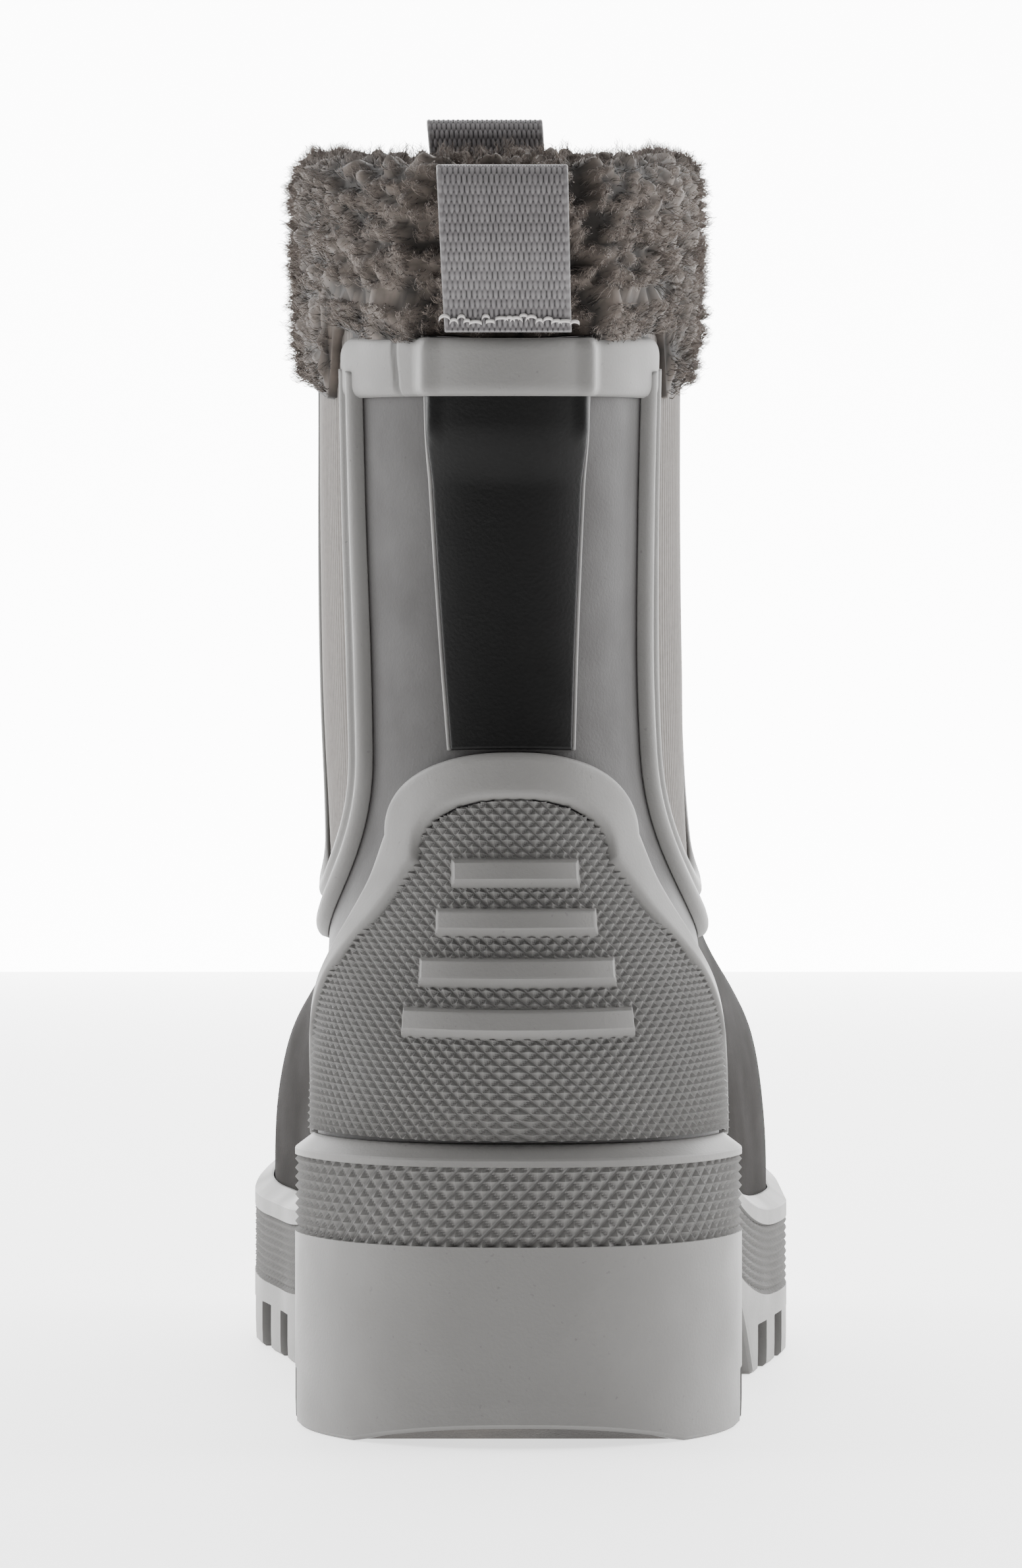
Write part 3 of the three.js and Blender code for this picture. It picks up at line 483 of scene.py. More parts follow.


# The lowest rows take painted shade where the wall turns under the sole, and the notch rows take it in the
# slots.
row(low, 5.0, 0.6)
row(low, 0.9 + 3.4 * notch, 0.3 + 0.6 * notch)
row(low + 0.8, 0.1 + 4.2 * notch, 0.9 * notch)
for k in (0.35, 0.7, 0.98):
    row(mix(low + 0.8, np.minimum(notch_top, band_low - 1.2), k), NOTCH * notch, 0.9 * notch)
for k in (0, 0.4, 0.8):
    row(mix(np.minimum(notch_top + 0.1, band_low - 1.0), band_low - 0.25, k), 0)
row(band_low - 0.12, 0)
# The knurl rows take painted shade in their grooves.
for j in range(band_rows):
    groove = 1 - knurl(u, j * unit, pitch)
    shown = band_low + j * unit >= low + 1.5
    row(band_low + j * unit, np.where(shown, KNURL_DEEP * groove, 0), np.where(shown, 0.45 * groove**1.3, 0))
row(band_top + 0.12, 0)
for below, inset in ((3.0, 0), (2.6, 0.2), (0.35, 3.2), (0.05, 3.7), (0, 4.2), (2.0, 4.45)):
    row(rim - below, inset)
print("rows up the wall", len(rows))

# %% Side wall piece
outside = np.stack([master(phi, 0.0, EDGE - d) for d in depth], 1)
outside[..., 2] = np.stack(rows, 1)
faces = grid_faces(columns, outside.shape[1], True)
points = outside.reshape(-1, 3)
if signed_volume(points, faces) < 0:
    faces = faces[:, ::-1]
wall_marks = {"painted_shade": np.stack(painted_shade, 1).ravel()}
wall = mesh_piece("sidewall_visual", points, faces, LIGHT, marks=wall_marks, soft=False)
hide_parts("sidewall")
print("side wall", len(faces), "quads,", cells, "points round, pitch", round(pitch, 3), "mm")

# %% [markdown]
# ## Vamp and quarter
# Two rubber skins that meet at the sides under the gores. They are plain, so a fine grid with soft
# shading is enough. Both have one thickness all over, because the inside is out of sight.

# %% Upper skins
def gore_edge(t, sign, grow):
    """The y of the gore opening's back (-1) or front (+1) edge on ring t: straight sides over a half
    ellipse, found by repeated halving towards the edge at the ring's own height."""
    y = np.full(np.shape(t), GORE_Y)
    foot, half = GORE_FOOT - grow, GORE_HALF + grow
    for _ in range(30):
        z = on_master(angle_at(y, t), t)[..., 2]
        part = np.sqrt(np.clip(1 - ((GORE_ROUND - z) / (GORE_ROUND - foot)) ** 2, 0, 1))
        share = np.where(z >= GORE_ROUND, half, np.where(z <= foot, 0, half * part))
        y = mix(y, GORE_Y + sign * share, 0.5)
    return y


def upper_skin(name, node, sign, across, material):
    """The quarter (sign -1) or the vamp (+1), from below the rim to the topline."""
    cut = float(ring_at(np.array(GORE_Y), np.array(GORE_FOOT - 4)))
    above = cut + (1 - cut) * np.linspace(0.004, 1, 70) ** 1.4
    t = np.r_[-1, -0.3, 0, np.linspace(0.012, cut, 46), above]
    seam = angle_at(gore_edge(t, sign, 4.0) + sign * 0.12, t)
    k = np.linspace(0, 1, across)[:, None]
    phi = mix(seam, 2 * np.pi - seam, k) if sign < 0 else mix(-seam, seam, k)
    tt = np.broadcast_to(t, phi.shape)
    piece = skin_piece(name, master(phi, tt, 0.0), master(phi, tt, -2.6), material)
    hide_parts(node)
    return piece


quarter = upper_skin("quarter_visual", "quarter_shell", -1, 170, PANEL)
vamp = upper_skin("vamp_visual", "vamp_shell", 1, 220, VAMP)
print("upper skins", len(quarter.data.polygons), len(vamp.data.polygons))

# %% [markdown]
# ## Heel counter
# A bell of light rubber: a smooth rolled border, a sunk field of small knurling inside it, and plain
# raised kick bars, the foothold used to push the boot off. The border is a sheet between two bell
# outlines. Each is a side curve, given as the angle it reaches at each height, and an arch on top.

# %% Outlines of the counter
COUNTER_TOP, COUNTER_FOOT = 131.5, 58.0
OUTER_SHOULDER, OUTER_HALF, OUTER_RISE, OUTER_POWER = 116.0, 22.8, 15.3, 2.4
INNER_SHOULDER, INNER_HALF, INNER_RISE, INNER_POWER = 110.0, 17.0, 12.2, 2.6


def angle_for(half):
    """The angle on the back arc of the shaft that a half width in mm spans."""
    return np.arcsin(np.minimum(0.98, half / 35.3)) / 1.5


outer_foot = [(57.3, 1.2), (66, 1.17), (76, 1.06), (86, 0.9), (93, 0.76), (106, 0.555)]
outer_side = smooth(outer_foot + [(OUTER_SHOULDER, float(angle_for(OUTER_HALF)))])
inner_foot = [(57.3, 1.17), (66, 1.14), (76, 1.015), (86, 0.83), (93, 0.66), (100, 0.5)]
inner_side = smooth(inner_foot + [(INNER_SHOULDER, float(angle_for(INNER_HALF)))])


def bell(side, shoulder, half, rise, power, count=70):
    """A bell outline as (angle, height), from one foot over the top to the other: a side curve up to
    the shoulder, then an arch whose half width to a power and height to a power add up to one."""
    z = np.linspace(COUNTER_FOOT - 0.2, shoulder, count)
    turn = np.linspace(0, np.pi / 2, count)[1:]
    angle = np.r_[side(z), angle_for(half * np.cos(turn) ** (2 / power))]
    right = np.stack([angle, np.r_[z, shoulder + rise * np.sin(turn) ** (2 / power)]], -1)
    return np.concatenate([right * [-1, 1], right[-2::-1]])


outer_line = bell(outer_side, OUTER_SHOULDER, OUTER_HALF, OUTER_RISE, OUTER_POWER)
inner_line = bell(inner_side, INNER_SHOULDER, INNER_HALF, INNER_RISE, INNER_POWER)
print("border, width at the top", round(outer_line[:, 1].max() - inner_line[:, 1].max(), 1), "mm")

# %% Border of the counter
across_border = np.r_[0, 0.02, 0.06, 0.12, 0.2, 0.35, 0.5, 0.65, 0.78, 0.86, 0.92, 0.96, 1]
roll = np.array([0.25, 0.7, 0.9, 1, 1, 1, 1, 1, 1, 0.95, 0.8, 0.55, 0.1])
line = mix(outer_line[:, None], inner_line[:, None], across_border[None, :, None])
phi_line, t_line = np.pi + line[..., 0], ring_on_line(np.pi, line[..., 1])
crown = master(phi_line, t_line, 0.7 + 2.0 * roll + 0 * t_line)
border = skin_piece("counter_border", crown, master(phi_line, t_line, 0.3), LIGHT)
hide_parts("heel_counter")
print("border quads", len(border.data.polygons))

# %% [markdown]
# The field inside the border is its own grid, an eighth of the knurl's pitch, and every quad that
# lies past the inner outline is left out. The kick bars are flats with sloped sides, and they take
# the place of the knurl where they stand.

# %% Field of the counter
FIELD_PITCH, FIELD_DEEP, BAR_HIGH, ARC = 2.5, 1.1, 2.1, 36 * 1.5
unit = FIELD_PITCH / 8
field_z = COUNTER_FOOT + unit * np.arange(int(64.5 / unit))
half_cols = int(1.19 * ARC / unit)
steps = np.arange(-half_cols, half_cols + 1)
pu, pz = np.meshgrid(np.pi + steps * unit / ARC, field_z, indexing="ij")
au, av = np.meshgrid(steps * unit, field_z - COUNTER_FOOT, indexing="ij")
points_up = knurl(au, av, FIELD_PITCH)
bars = np.zeros(points_up.shape)
for bar_z, bar_half in ((79.5, 21.0), (89.0, 18.0), (98.5, 15.0), (108.0, 12.0)):
    edge = np.minimum((bar_half - np.abs(au)) / 1.6, (2.9 - np.abs(pz - bar_z)) / 1.3)
    bars = np.maximum(bars, np.clip(edge, 0, 1))
raised = 1.0 + np.where(bars > 0, BAR_HIGH * bars, FIELD_DEEP * points_up)
shade = np.where(bars > 0, 0, 0.45 * (1 - points_up) ** 1.3)
field = master(pu, np.broadcast_to(ring_on_line(np.pi, field_z), pu.shape), raised)
print("field grid", pu.shape, "and highest bar", round(float(raised.max()), 2), "mm over the counter's seat")

# %% Crop the field
up_arch = np.clip(pz - INNER_SHOULDER, 0, INNER_RISE) / INNER_RISE
arch = angle_for(INNER_HALF * np.clip(1 - up_arch**INNER_POWER, 0, 1) ** 0.5)
inside = np.abs(pu - np.pi) < np.where(pz < INNER_SHOULDER, inner_side(pz), arch) + 0.012
faces = grid_faces(*pu.shape)
faces = faces[inside.ravel()[faces].all(axis=1)]
used, faces = np.unique(faces, return_inverse=True)
faces = faces.reshape(-1, 4)
points = field.reshape(-1, 3)[used]
first = points[faces[0]]
if np.cross(first[1] - first[0], first[2] - first[0])[1] > 0:
    faces = faces[:, ::-1]
field_marks = {"painted_shade": shade.ravel()[used]}
counter_field = mesh_piece("counter_field", points, faces, LIGHT, marks=field_marks, soft=False)
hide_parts("heel_counter")
print("counter field", len(faces), "quads")

# %% [markdown]
# ## Back strip and bindings
# The strip is a dark overlay with a fine light line at each border. The sewn-in end of the pull loop
# lifts it at the top, and the webbing's two edges show through as short upright ridges.

# %% Over the sewn-in loop
STRIP_LOW, STRIP_HIGH = 11.3, 15.5
STRIP_SEAT, ANCHOR_LIFT, RIDGE_AT, RIDGE_WIDE = 0.3, 1.8, 12.7, 0.022
BACK_ANCHOR, FRONT_ANCHOR = 20, 9


def over_anchor(dphi, z, top, depth):
    """1 over the sewn-in end of a loop, falling to 0 around it."""
    beside = step(angle_for(13.2), angle_for(15.9), np.abs(dphi))
    return (1 - beside) * step(top - depth - 8.5, top - depth + 4, z)


def webbing_ridge(dphi):
    """A bell-shaped ridge over each edge of the webbing: e to the minus square of the distance."""
    return np.exp(-(((np.abs(dphi) - angle_for(RIDGE_AT)) / RIDGE_WIDE) ** 2))


z_strip = np.linspace(COUNTER_TOP + 0.4, BACK_TOP - 0.1, 120)
t_strip = ring_on_line(np.pi, z_strip)
half = angle_for(mix(STRIP_LOW, STRIP_HIGH, (z_strip - COUNTER_TOP) / (BACK_TOP - COUNTER_TOP)))
print("strip, half widths", STRIP_LOW, "mm at the counter and", STRIP_HIGH, "mm at the top")

# %% Strip
k = np.linspace(0, 1, 90)[:, None]
dphi = mix(-half, half, k)
tt = np.broadcast_to(t_strip, dphi.shape)
base = STRIP_SEAT + ANCHOR_LIFT * over_anchor(dphi, z_strip, BACK_TOP, BACK_ANCHOR)
thick = 0.8 * rounded(k, 27, 0.6) + 0.75 * webbing_ridge(dphi) * step(189.5, 193, z_strip)
outside, inside = master(np.pi + dphi, tt, base + thick), master(np.pi + dphi, tt, base)
strip = skin_piece("back_strip_visual", outside, inside, BLACK)
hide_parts("back_strip")
print("strip quads", len(strip.data.polygons))

# %% Lines beside the strip
LINE_HALF = 0.0075
for side, word in ((-1, "left"), (1, "right")):
    k = np.linspace(-1, 1, 7)[:, None]
    dphi = side * (half + LINE_HALF) + LINE_HALF * k
    tt = np.broadcast_to(t_strip, dphi.shape)
    round_top = 0.55 * np.sqrt(np.clip(1 - k**2, 0, 1))
    lift = STRIP_SEAT + ANCHOR_LIFT * over_anchor(dphi, z_strip, BACK_TOP, BACK_ANCHOR) + round_top
    outside, inside = master(np.pi + dphi, tt, lift), master(np.pi + dphi, tt, 0.1)
    line = skin_piece(f"strip_line_{word}", outside, inside, SEAM)
print("lines, width", round(2 * LINE_HALF * ARC, 2), "mm")

# %% [markdown]
# The bindings are rolled bands that close the topline at the back and the front, from one piping to
# the other. A fine cut shows where each is lapped, and the back one's outer ends drop a little.

# %% Bindings
BINDING_HIGH = 11.0


def binding(name, node, middle, top, depth, strip_lift):
    """A rolled band round the topline between the pipings, lying over the strip and the loop's end.
    The offset is the seat below it, plus a crown rolled off at every edge, ridges, a cut and a dish."""
    v = np.linspace(0, 1, 22)
    z_mid = mix(top - BINDING_HIGH, top, v)
    t = ring_on_line(middle, z_mid)
    sign = -1 if middle > 1 else 1
    reach = angle_at(GORE_Y + sign * (GORE_HALF + 0.3), t)
    half = np.pi - reach if middle > 1 else reach
    k = np.linspace(0, 1, 180)[:, None]
    dphi = mix(-half, half, k)
    on_strip = strip_lift * (1 - step(0.29, 0.33, np.abs(dphi)))
    under = STRIP_SEAT + on_strip + ANCHOR_LIFT * over_anchor(dphi, z_mid, top, depth)
    crown = 0.5 + 1.3 * rounded(v, BINDING_HIGH, 2.4)
    ridges = 0.8 * webbing_ridge(dphi)
    cut = -0.9 * np.exp(-(((dphi - 0.385 - 0.02 * v) / 0.006) ** 2))
    dish = -0.45 * (1 - step(angle_for(10.5), angle_for(12.5), np.abs(dphi)))
    ends = rounded(k, 90, 4.0)
    corner = 4.5 * (1 - rounded(k, 90, 5.0)) * v**2 + 2.6 * (dphi / half) ** 2 * (middle > 1)
    tt = ring_on_line(middle, z_mid - corner)
    outside = master(middle + dphi, tt, under + crown * (0.25 + 0.75 * ends) + ridges + cut + dish)
    piece = skin_piece(name, outside, master(middle + dphi, tt, 0.1), LIGHT)
    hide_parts(node)


binding("back_binding_visual", "back_binding", np.pi, BACK_TOP, BACK_ANCHOR, 1.1)
binding("front_binding_visual", "front_binding", 0.0, FRONT_TOP, FRONT_ANCHOR, 0.0)
print("bindings, height", BINDING_HIGH, "mm")

# %% [markdown]
# ## Gores and pipings
# The gore is a ribbed woven elastic, so its ribs are real ridges that run up the shaft. The piping
# that frames it is extruded rubber with a bead at each border and a flat between them.

# %% Gores
RIB_PITCH, RIB_DEEP, GORE_SEAT, GORE_BACK, GORE_REACH = 1.7, 0.16, -0.5, -1.8, 3.6


def on_side(y, t, sign):
    """The angle at y on ring t, on the outer side (sign 1) or the inner side (-1)."""
    a = angle_at(y, t)
    return a if sign > 0 else 2 * np.pi - a


def gore(name, node, sign, swell):
    """The elastic panel of one side: a sheet with cosine ribs that swells outwards in the middle."""
    cut = float(ring_at(np.array(GORE_Y), np.array(GORE_FOOT - GORE_REACH)))
    t = cut + (1 - cut) * np.linspace(0.006, 1, 70) ** 1.3
    k = np.linspace(0, 1, 201)[:, None]
    y = mix(gore_edge(t, -1, GORE_REACH), gore_edge(t, 1, GORE_REACH), k)
    tt = np.broadcast_to(t, y.shape)
    phi = on_side(y, tt, sign)
    rib = RIB_DEEP * np.cos(2 * np.pi * (y - GORE_Y) / RIB_PITCH)
    bulge = swell * np.sin(np.pi * k) ** 1.2 * np.minimum(1, 4 * (t - cut))
    piece = skin_piece(name, master(phi, tt, bulge + GORE_SEAT + rib), master(phi, tt, GORE_BACK), GORE)
    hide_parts(node)


# %% Pipings
PIPING, PIPING_DEEPER, LEG = 8.5, 1.565, 0.32
TOP_GAP = 9.0


def bead(v, centre, radius, high):
    """A half round of the given height along the piping, at centre mm across it; zero beside it."""
    return high * np.sqrt(np.clip(1 - ((v * 8.1 - centre) / radius) ** 2, 0, 1))


def piping(name, node, sign):
    """The frame of one gore: a leg down, half an ellipse and a leg up, u along it and v across it, with
    two beads and a flat between them. It lies flatter on its front leg."""
    u = np.linspace(0, 1, 260)[:, None]
    v = np.linspace(0, 1, 31)[None, :]
    out = mix(0.4, PIPING, v)
    half, deep = GORE_HALF + out, GORE_ROUND - GORE_FOOT + out * PIPING_DEEPER
    turn = np.clip((u - LEG) / (1 - 2 * LEG), 0, 1) * np.pi
    y = GORE_Y - np.cos(turn) * half
    high = mix(BACK_TOP, FRONT_TOP, (y - 15) / 125) - TOP_GAP
    leg = np.where(u < LEG, 1 - u / LEG, np.where(u > 1 - LEG, (u - 1 + LEG) / LEG, 0))
    t = ring_at(y, GORE_ROUND - np.sin(turn) * deep + leg * (high - GORE_ROUND))
    phi = on_side(y, t, sign)
    flat = 1.15 * step(0.06, 0.12, v) * (1 - step(0.93, 1.0, v))
    lift = 0.35 + np.maximum(np.maximum(bead(v, 1.6, 1.5, 1.9), bead(v, 6.2, 1.9, 2.4)), flat)
    lift = mix(lift, 0.9, 0.8 * step(GORE_Y + 8, GORE_Y + 20, y))
    piece = skin_piece(name, master(phi, t, lift), master(phi, t, 0.1), LIGHT)
    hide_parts(node)


for sign, word, swell in ((1, "outer", 1.5), (-1, "inner", 0.4)):
    gore(f"gore_{word}_visual", f"gore_{word}", sign, swell)
    piping(f"piping_{word}_visual", f"gore_piping_{word}", sign)

# %% [markdown]
# ## Pull loops
# Each loop is a strip of webbing folded over at the top, so a finger can pull the boot on. The cloth
# shows as rows of small ovals, one where each yarn comes up, and every second row is moved half a
# yarn. Its height is worked out from that, with a rounder selvedge at each edge.

# %% Weave
WEBBING, YARN, PICK = 25.0, 1.04, 1.8


def weave(u, v):
    """Height, 0 to 1, of webbing at u across and v along in mm. Over an oval it is the root of one
    minus the squares of the distances from its middle, each as a share of the oval's half length."""
    height = np.zeros(u.shape)
    for first in (0, 1):
        row = 2 * np.round((v / PICK - first) / 2) + first
        du = u / YARN - 0.5 * first
        du = (du - np.round(du)) * YARN
        dv = v - row * PICK
        oval = 1 - (du / 0.5) ** 2 - (dv / 1.25) ** 2
        height = np.maximum(height, np.sqrt(np.clip(oval, 0, 1)))
    return height


def loop_path(s, height, gap=6.4, thick=1.5):
    """Half of the loop's centre line, s from 0 at a foot to 1 at the top, as (spread, height)."""
    reach = gap / 2 + thick / 2
    turn = np.clip((s - 0.75) / 0.25, 0, 1) * np.pi / 2
    up = np.where(s < 0.75, mix(0.8, height - reach, s / 0.75), height - reach + reach * np.sin(turn))
    spread = np.where(s < 0.75, mix(0.85, reach, step(0, 0.5, s)), reach * np.cos(turn))
    return np.stack([spread, up], -1)


half_path = loop_path(np.linspace(0, 1, 50), 32)
print("webbing", WEBBING, "mm wide; its fold is", round(2 * float(half_path[:, 0].max()), 1), "mm across")

# %% [markdown]
# The loop's outside carries the relief and its inside is plain. The yarns get painted shade where the
# cloth is low, between them. Short thread loops lie across the foot, where the webbing is sewn down.

# %% Loops
HINGE_OUT = 1.4 + 3.95
THREAD_HALF, THREADS, ALONG, AROUND = 0.34, 17, 14, 8


def pull_loop(name, node, body, middle, height, sway):
    """The folded strip of webbing: outer leg, round top, inner leg, with woven relief outside."""
    base = on_master(middle, 1.0)
    out = -1.0 if middle > 1 else 1.0
    s = np.linspace(0, 1, 155)
    leg = loop_path(s, height)
    line = np.concatenate([leg, (leg * [-1, 1])[-2::-1]])
    tangent = np.gradient(line, axis=0)
    tangent /= np.linalg.norm(tangent, axis=1, keepdims=True)
    normal = np.stack([tangent[:, 1], -tangent[:, 0]], -1)
    length = np.r_[0, np.cumsum(np.linalg.norm(np.diff(line, axis=0), axis=1))]
    across = np.linspace(-WEBBING / 2, WEBBING / 2, 150)
    uu, vv = np.meshgrid(across + WEBBING / 2, length, indexing="ij")
    woven = weave(uu, vv)
    border = np.minimum(uu, WEBBING - uu)
    selvedge = np.sqrt(np.clip(1 - ((border - 0.5) / 0.55) ** 2, 0, 1))
    selvedge = selvedge * (0.85 + 0.15 * np.cos(2 * np.pi * vv / PICK))
    relief = 0.55 * np.maximum(np.where(border < 1.0, 0, woven), selvedge)
    pinch = 0.965 + 0.035 * line[:, 1] / height
    tilt = sway * (line[:, 1] / height) ** 0.9

    def lay(offset):
        """Points of the strip, offset mm outwards from its centre line."""
        q = line[None] + normal[None] * offset[..., None]
        x = base[0] + across[:, None] * pinch[None] + tilt[None]
        y = base[1] + out * (HINGE_OUT + q[..., 0])
        return np.stack([np.broadcast_to(x, y.shape), y, base[2] + q[..., 1]], -1)

    # Painted shade between the yarns, where the relief is low.
    gap_shade = 1 - np.clip(relief / 0.4, 0, 1)
    outside, inside = lay(0.15 + relief), lay(-0.65 + 0 * relief)
    piece = skin_piece(name, outside, inside, WEB, body=body, marks={"painted_shade": gap_shade})
    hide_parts(node)
    stitches(name + "_stitches", body, base, out)
    return piece


def stitches(name, body, base, out):
    """Thread loops across the foot of a pull loop: each a tube bent into half an ellipse."""
    rng = np.random.default_rng(7)
    x0 = np.linspace(-12.2, 12.2, THREADS) + rng.uniform(-0.4, 0.4, THREADS)
    tall = rng.uniform(0.3, 1.3, THREADS)
    wide = rng.uniform(0.7, 1.3, THREADS)
    low = rng.uniform(2.0, 3.0, THREADS)
    turn, spin = np.linspace(0, np.pi, ALONG), np.linspace(0, 2 * np.pi, AROUND + 1)[:-1]
    along, around = np.meshgrid(turn, spin, indexing="ij")
    points, faces = [], []
    for i in range(THREADS):
        x = base[0] + x0[i] - wide[i] * np.cos(along)
        y = base[1] + out * (HINGE_OUT + 1.5 + 0.5 * np.sin(along) + THREAD_HALF * np.cos(around))
        z = base[2] + low[i] + tall[i] * np.sin(along) + THREAD_HALF * np.sin(around)
        faces.append(grid_faces(AROUND, ALONG, True, i * AROUND * ALONG))
        points.append(np.stack([x, y, z], -1).transpose(1, 0, 2).reshape(-1, 3))
    points, faces = np.concatenate(points), np.concatenate(faces)
    if signed_volume(points, faces) < 0:
        faces = faces[:, ::-1]
    thread = mesh_piece(name, points, faces, THREAD, body)


back_loop = pull_loop("back_pull_loop_visual", "back_pull_loop", "back_loop", np.pi, 32, -1.2)
pull_loop("front_pull_loop_visual", "front_pull_loop", "front_loop", 0.0, 36, -3.0)
print("webbing", len(back_loop.data.polygons), "quads")

# %% [markdown]
# ## Pile cuff
# Curly pile over a padded ring keeps the leg warm. Its form is a rounded ring on the topline: an
# outer side, half an ellipse over the top and an inner side, with a skirt that hangs down over each
# gore and a pinch beside each pull loop.

# %% Form of the cuff
CUFF_INSIDE = -8.6


def cuff_frame(phi):
    """Topline point, level outward direction, and how far forward it is."""
    p = on_master(phi, 1.0)
    out = master(phi, 1.0, 1.0) - p
    out[..., 2] = 0
    out /= np.linalg.norm(out, axis=-1, keepdims=True)
    return p, out, np.clip((p[..., 1] - 15) / 125, 0, 1)


def cuff_surface(phi, v):
    """Point and outward normal of the cuff at v: 0 is the outer foot, 0.45 the outer shoulder, 0.6 the
    inner shoulder and 1 the inner foot."""
    p, out, k = cuff_frame(phi)
    height = mix(34, 28, k)
    skirt = step(GORE_Y - 24, GORE_Y - 17, p[..., 1]) * (1 - step(GORE_Y + 17, GORE_Y + 24, p[..., 1]))
    beside = 1 - step(13.0, 17.5, np.abs(p[..., 0] - lean(p[..., 1], p[..., 2])))
    beside = beside * (1 - step(21, 35, p[..., 1]) * (1 - step(120, 134, p[..., 1])))
    outside = mix(mix(4.0, 3.8, skirt), 0.2, beside)
    foot = mix(0.6, -15.5, skirt)
    mid, half = (outside + CUFF_INSIDE) / 2, (outside - CUFF_INSIDE) / 2
    shoulder = height - half * 0.8
    a = np.clip((v - 0.45) / 0.15, 0, 1) * np.pi
    n = np.where(v < 0.45, outside, np.where(v > 0.6, CUFF_INSIDE, mid + half * np.cos(a)))
    going_down = mix(shoulder, 1.0, (v - 0.6) / 0.4)
    past_shoulder = np.where(v > 0.6, going_down, shoulder + half * 0.8 * np.sin(a))
    z = np.where(v < 0.45, mix(foot, shoulder, v / 0.45), past_shoulder)
    n = n - np.where(v < 0.45, 1.6 * (1 - step(0, 0.12, v)), 0)
    nn = np.where(v < 0.45, 1.0, np.where(v > 0.6, -1.0, np.cos(a)))
    nz = np.where((v < 0.45) | (v > 0.6), 0.12, np.sin(a))
    point = p + out * n[..., None]
    point[..., 0] -= 0.2 * np.clip(z / 12, 0, 1)
    point[..., 2] = p[..., 2] + z - 2.6 * (1 - beside) * np.clip((60 - p[..., 1]) / 25, 0, 1) * (v < 0.12)
    normal = out * nn[..., None]
    normal[..., 2] = nz
    return point, normal / np.linalg.norm(normal, axis=-1, keepdims=True)


back_top = cuff_surface(np.array([np.pi]), np.array([0.5]))[0][0, 2]
print("cuff, top at the back before the pile", round(float(back_top), 1), "mm")

# %% [markdown]
# The pile gathers in clumps. Each clump has a place on the ring, a direction, a size and a height, and
# stands as a mound: its height times one minus the square of the distance from its middle, as a share
# of its size. The knitted base carries the mounds and takes painted shade between them.

# %% Clumps
rng = np.random.default_rng(21)
CLUMPS = 3000
clump_phi, clump_v = rng.uniform(0, 2 * np.pi, CLUMPS), rng.beta(1.05, 1.35, CLUMPS) * 0.95
clump_root, clump_out = cuff_surface(clump_phi, clump_v)
clump_out = clump_out + rng.normal(0, 0.35, (CLUMPS, 3))
clump_size = rng.uniform(1.5, 3.0, CLUMPS)
clump_tall = rng.uniform(0.6, 3.0, CLUMPS)


def nearest_clump(points):
    """For each point, the clump it belongs to and its distance from it as a share of the clump's size."""
    best = np.full(len(points), 1e9)
    which = np.zeros(len(points), int)
    for start in range(0, CLUMPS, 64):
        part = slice(start, start + 64)
        share = np.linalg.norm(points[:, None] - clump_root[None, part], axis=2) / clump_size[None, part]
        k = share.argmin(axis=1)
        value = share[np.arange(len(points)), k]
        which = np.where(value < best, start + k, which)
        best = np.minimum(best, value)
    return which, best


print("clumps", CLUMPS, "of", round(float(clump_size.mean()), 1), "mm in the mean")

# %% Base of the pile
phi = np.linspace(0, 2 * np.pi, 361)[:-1]
v = np.r_[np.linspace(0, 0.44, 34), np.linspace(0.45, 0.6, 20), np.linspace(0.61, 1, 20)]
pp, vv = np.meshgrid(phi, v, indexing="ij")
point, normal = cuff_surface(pp, vv)
which, share = nearest_clump(point.reshape(-1, 3))
mound = (clump_tall[which] * np.clip(1 - share**2, 0, 1)).reshape(pp.shape) * np.clip(vv * 12, 0, 1)
base = point + normal * (mound - 1.0)[..., None]
under = point - normal * 3.2
# Painted shade in the hollows between clumps.
deep = (0.9 * np.clip(share, 0, 1) ** 2).reshape(pp.shape)
cuff = skin_piece("cuff_base", base, under, PILE_BASE, closed=True, marks={"painted_shade": deep})
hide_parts("cuff")
print("cuff base quads", len(cuff.data.polygons))

# %% [markdown]
# Each fibre is a thin tapered strip that winds round its own line. It starts on the base, is drawn
# towards the head of its clump, and is dark at the root, where no light gets in.

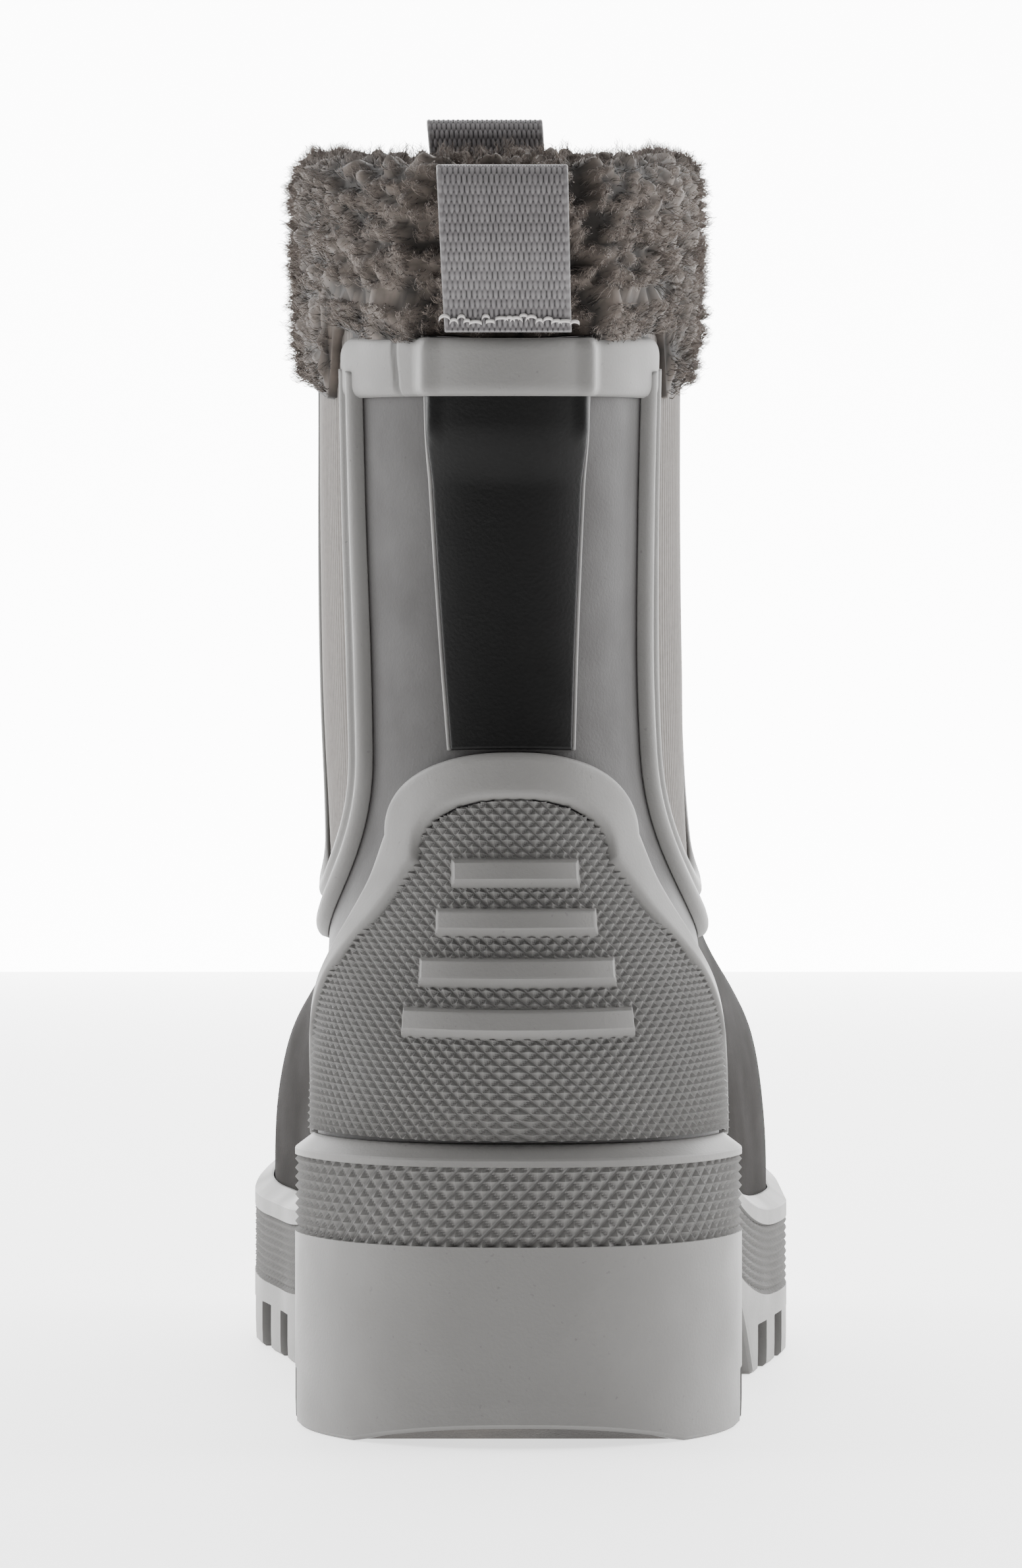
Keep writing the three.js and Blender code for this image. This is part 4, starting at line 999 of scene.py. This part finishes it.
# %% Fibres
BATCHES, PER, SEGMENTS = 4, 15500, 6
local = np.array([[2 * i, 2 * i + 1, 2 * i + 3, 2 * i + 2] for i in range(SEGMENTS)])
s = np.linspace(0, 1, SEGMENTS + 1)[None, :, None]
for batch in range(BATCHES):
    root, normal = cuff_surface(rng.uniform(0, 2 * np.pi, PER), rng.beta(1.05, 1.35, PER) * 0.9)
    which, share = nearest_clump(root)
    mound = clump_tall[which] * np.clip(1 - share**2, 0, 1)
    root = root + normal * (mound - 1.4)[:, None]
    head = clump_root[which] + clump_out[which] * (clump_tall[which] * 0.9)[:, None]
    goal = head + rng.normal(0, 0.5, (PER, 3))
    side = np.cross(normal, rng.normal(size=(PER, 3)))
    side /= np.linalg.norm(side, axis=1, keepdims=True)
    other = np.cross(normal, side)
    reach = rng.uniform(0.4, 1.5, PER)[:, None, None]
    curl = rng.uniform(0.3, 0.8, PER)[:, None, None]
    phase = rng.uniform(0, 6.28, PER)[:, None, None] + s * rng.uniform(4.0, 10.0, PER)[:, None, None]
    spine = root[:, None] + normal[:, None] * reach * s + (goal - root)[:, None] * 0.65 * s**1.3
    spine = spine + curl * s**0.6 * (side[:, None] * np.sin(phase) + other[:, None] * np.cos(phase))
    taper = rng.uniform(0.06, 0.14, PER)[:, None, None] * (1 - 0.7 * s)
    points = np.stack([spine + other[:, None] * taper, spine - other[:, None] * taper], 2).reshape(-1, 3)
    faces = (local[None] + 2 * (SEGMENTS + 1) * np.arange(PER)[:, None, None]).reshape(-1, 4)
    deep = np.clip(0.8 * (1 - s) ** 1.2 + 0.4 * np.clip(share, 0, 1)[:, None, None] ** 2, 0, 1)
    deep = np.repeat(np.broadcast_to(deep, (PER, SEGMENTS + 1, 1)), 2, axis=2).ravel()
    tuft = mesh_piece(f"pile_fibres_{batch}", points, faces, PILE, marks={"painted_shade": deep})
    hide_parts("cuff")
print("fibres", BATCHES * PER)

# %% [markdown]
# ## Pieces kept from the CAD
# The tread, the lining, the footbed's cover and the sewn-in ends of the loops keep the shape the CAD
# gives them, and get new materials.

# %% Kept pieces
new_materials = {
    "outsole": TREAD,
    "lining": PILE_BASE,
    "footbed_cover": PILE_BASE,
    "back_loop_anchor": WEB,
    "front_loop_anchor": WEB,
}
for name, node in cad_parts.items():
    if name in new_materials:
        node.data.materials.clear()
        node.data.materials.append(new_materials[name])
print("kept with new materials", len(new_materials))

# %% [markdown]
# ## Floor, light and camera
# A flat white floor that glows a little and a brighter white card behind it, a large soft light on
# each side and a weaker one above. The sides of the boot are then brighter than the faces
# that look at the camera. The camera is level and far off, with a long lens.

# %% Floor and backdrop
def glowing_white(name, strength):
    """A white material that gives off some light of its own."""
    material = bpy.data.materials.new(name)
    material.use_nodes = True
    inputs = material.node_tree.nodes["Principled BSDF"].inputs
    inputs["Base Color"].default_value = (0.9, 0.9, 0.9, 1)
    inputs["Emission Color"].default_value = (1, 1, 1, 1)
    inputs["Emission Strength"].default_value = strength
    return material


def card(name, corners, material):
    """One flat face of the stage."""
    mesh = bpy.data.meshes.new(name)
    mesh.from_pydata(corners, [], [(0, 1, 2, 3)])
    thing = bpy.data.objects.new(name, mesh)
    mesh.materials.append(material)
    bpy.context.scene.collection.objects.link(thing)
    return thing


white = glowing_white("floor_white", 1.5)
white.node_tree.nodes["Principled BSDF"].inputs["Roughness"].default_value = 0.7
floor = card("floor", [(-6, -6, 0), (6, -6, 0), (6, 6, 0), (-6, 6, 0)], white)

BACK_Y, BACK_LOW, BACK_HIGH, BACK_HALF = 2.4, -0.2, 2.2, 2.5
low_corners = [(-BACK_HALF, BACK_Y, BACK_LOW), (BACK_HALF, BACK_Y, BACK_LOW)]
high_corners = [(BACK_HALF, BACK_Y, BACK_HIGH), (-BACK_HALF, BACK_Y, BACK_HIGH)]
backdrop = card("backdrop", low_corners + high_corners, glowing_white("backdrop_white", 10))
print("floor and backdrop made")

# %% Lights
world = bpy.data.worlds.new("studio")
bpy.context.scene.world = world
world.use_nodes = True
world.node_tree.nodes["Background"].inputs["Color"].default_value = (1, 1, 1, 1)
world.node_tree.nodes["Background"].inputs["Strength"].default_value = 0.06


def area(name, place, target, size, power):
    """A square light at place that shines at target, size in m and power in watts."""
    lamp = bpy.data.lights.new(name, "AREA")
    lamp.shape, lamp.size, lamp.energy = "SQUARE", size, power
    holder = bpy.data.objects.new(name, lamp)
    holder.location = place
    holder.rotation_euler = (Vector(target) - Vector(place)).to_track_quat("-Z", "Y").to_euler()
    bpy.context.scene.collection.objects.link(holder)


area("side_left", (-1.2, 0.25, 0.6), (0, -0.05, 0.14), 1.0, 30)
area("side_right", (1.2, 0.25, 0.6), (0, -0.05, 0.14), 1.0, 34)
area("above", (0, -0.25, 1.5), (0, 0, 0.1), 0.8, 9)
print("lights", len(bpy.data.lights))

# %% Camera
camera_data = bpy.data.cameras.new("camera")
camera_data.lens = 121.9
camera_data.sensor_width = 36
camera = bpy.data.objects.new("camera", camera_data)
camera.location = (-0.0015, -1.144, 0.1253)
camera.rotation_euler = (math.pi / 2, 0, 0)
bpy.context.scene.collection.objects.link(camera)
bpy.context.scene.camera = camera
print("camera, distance", round(-camera.location[1], 3), "m")
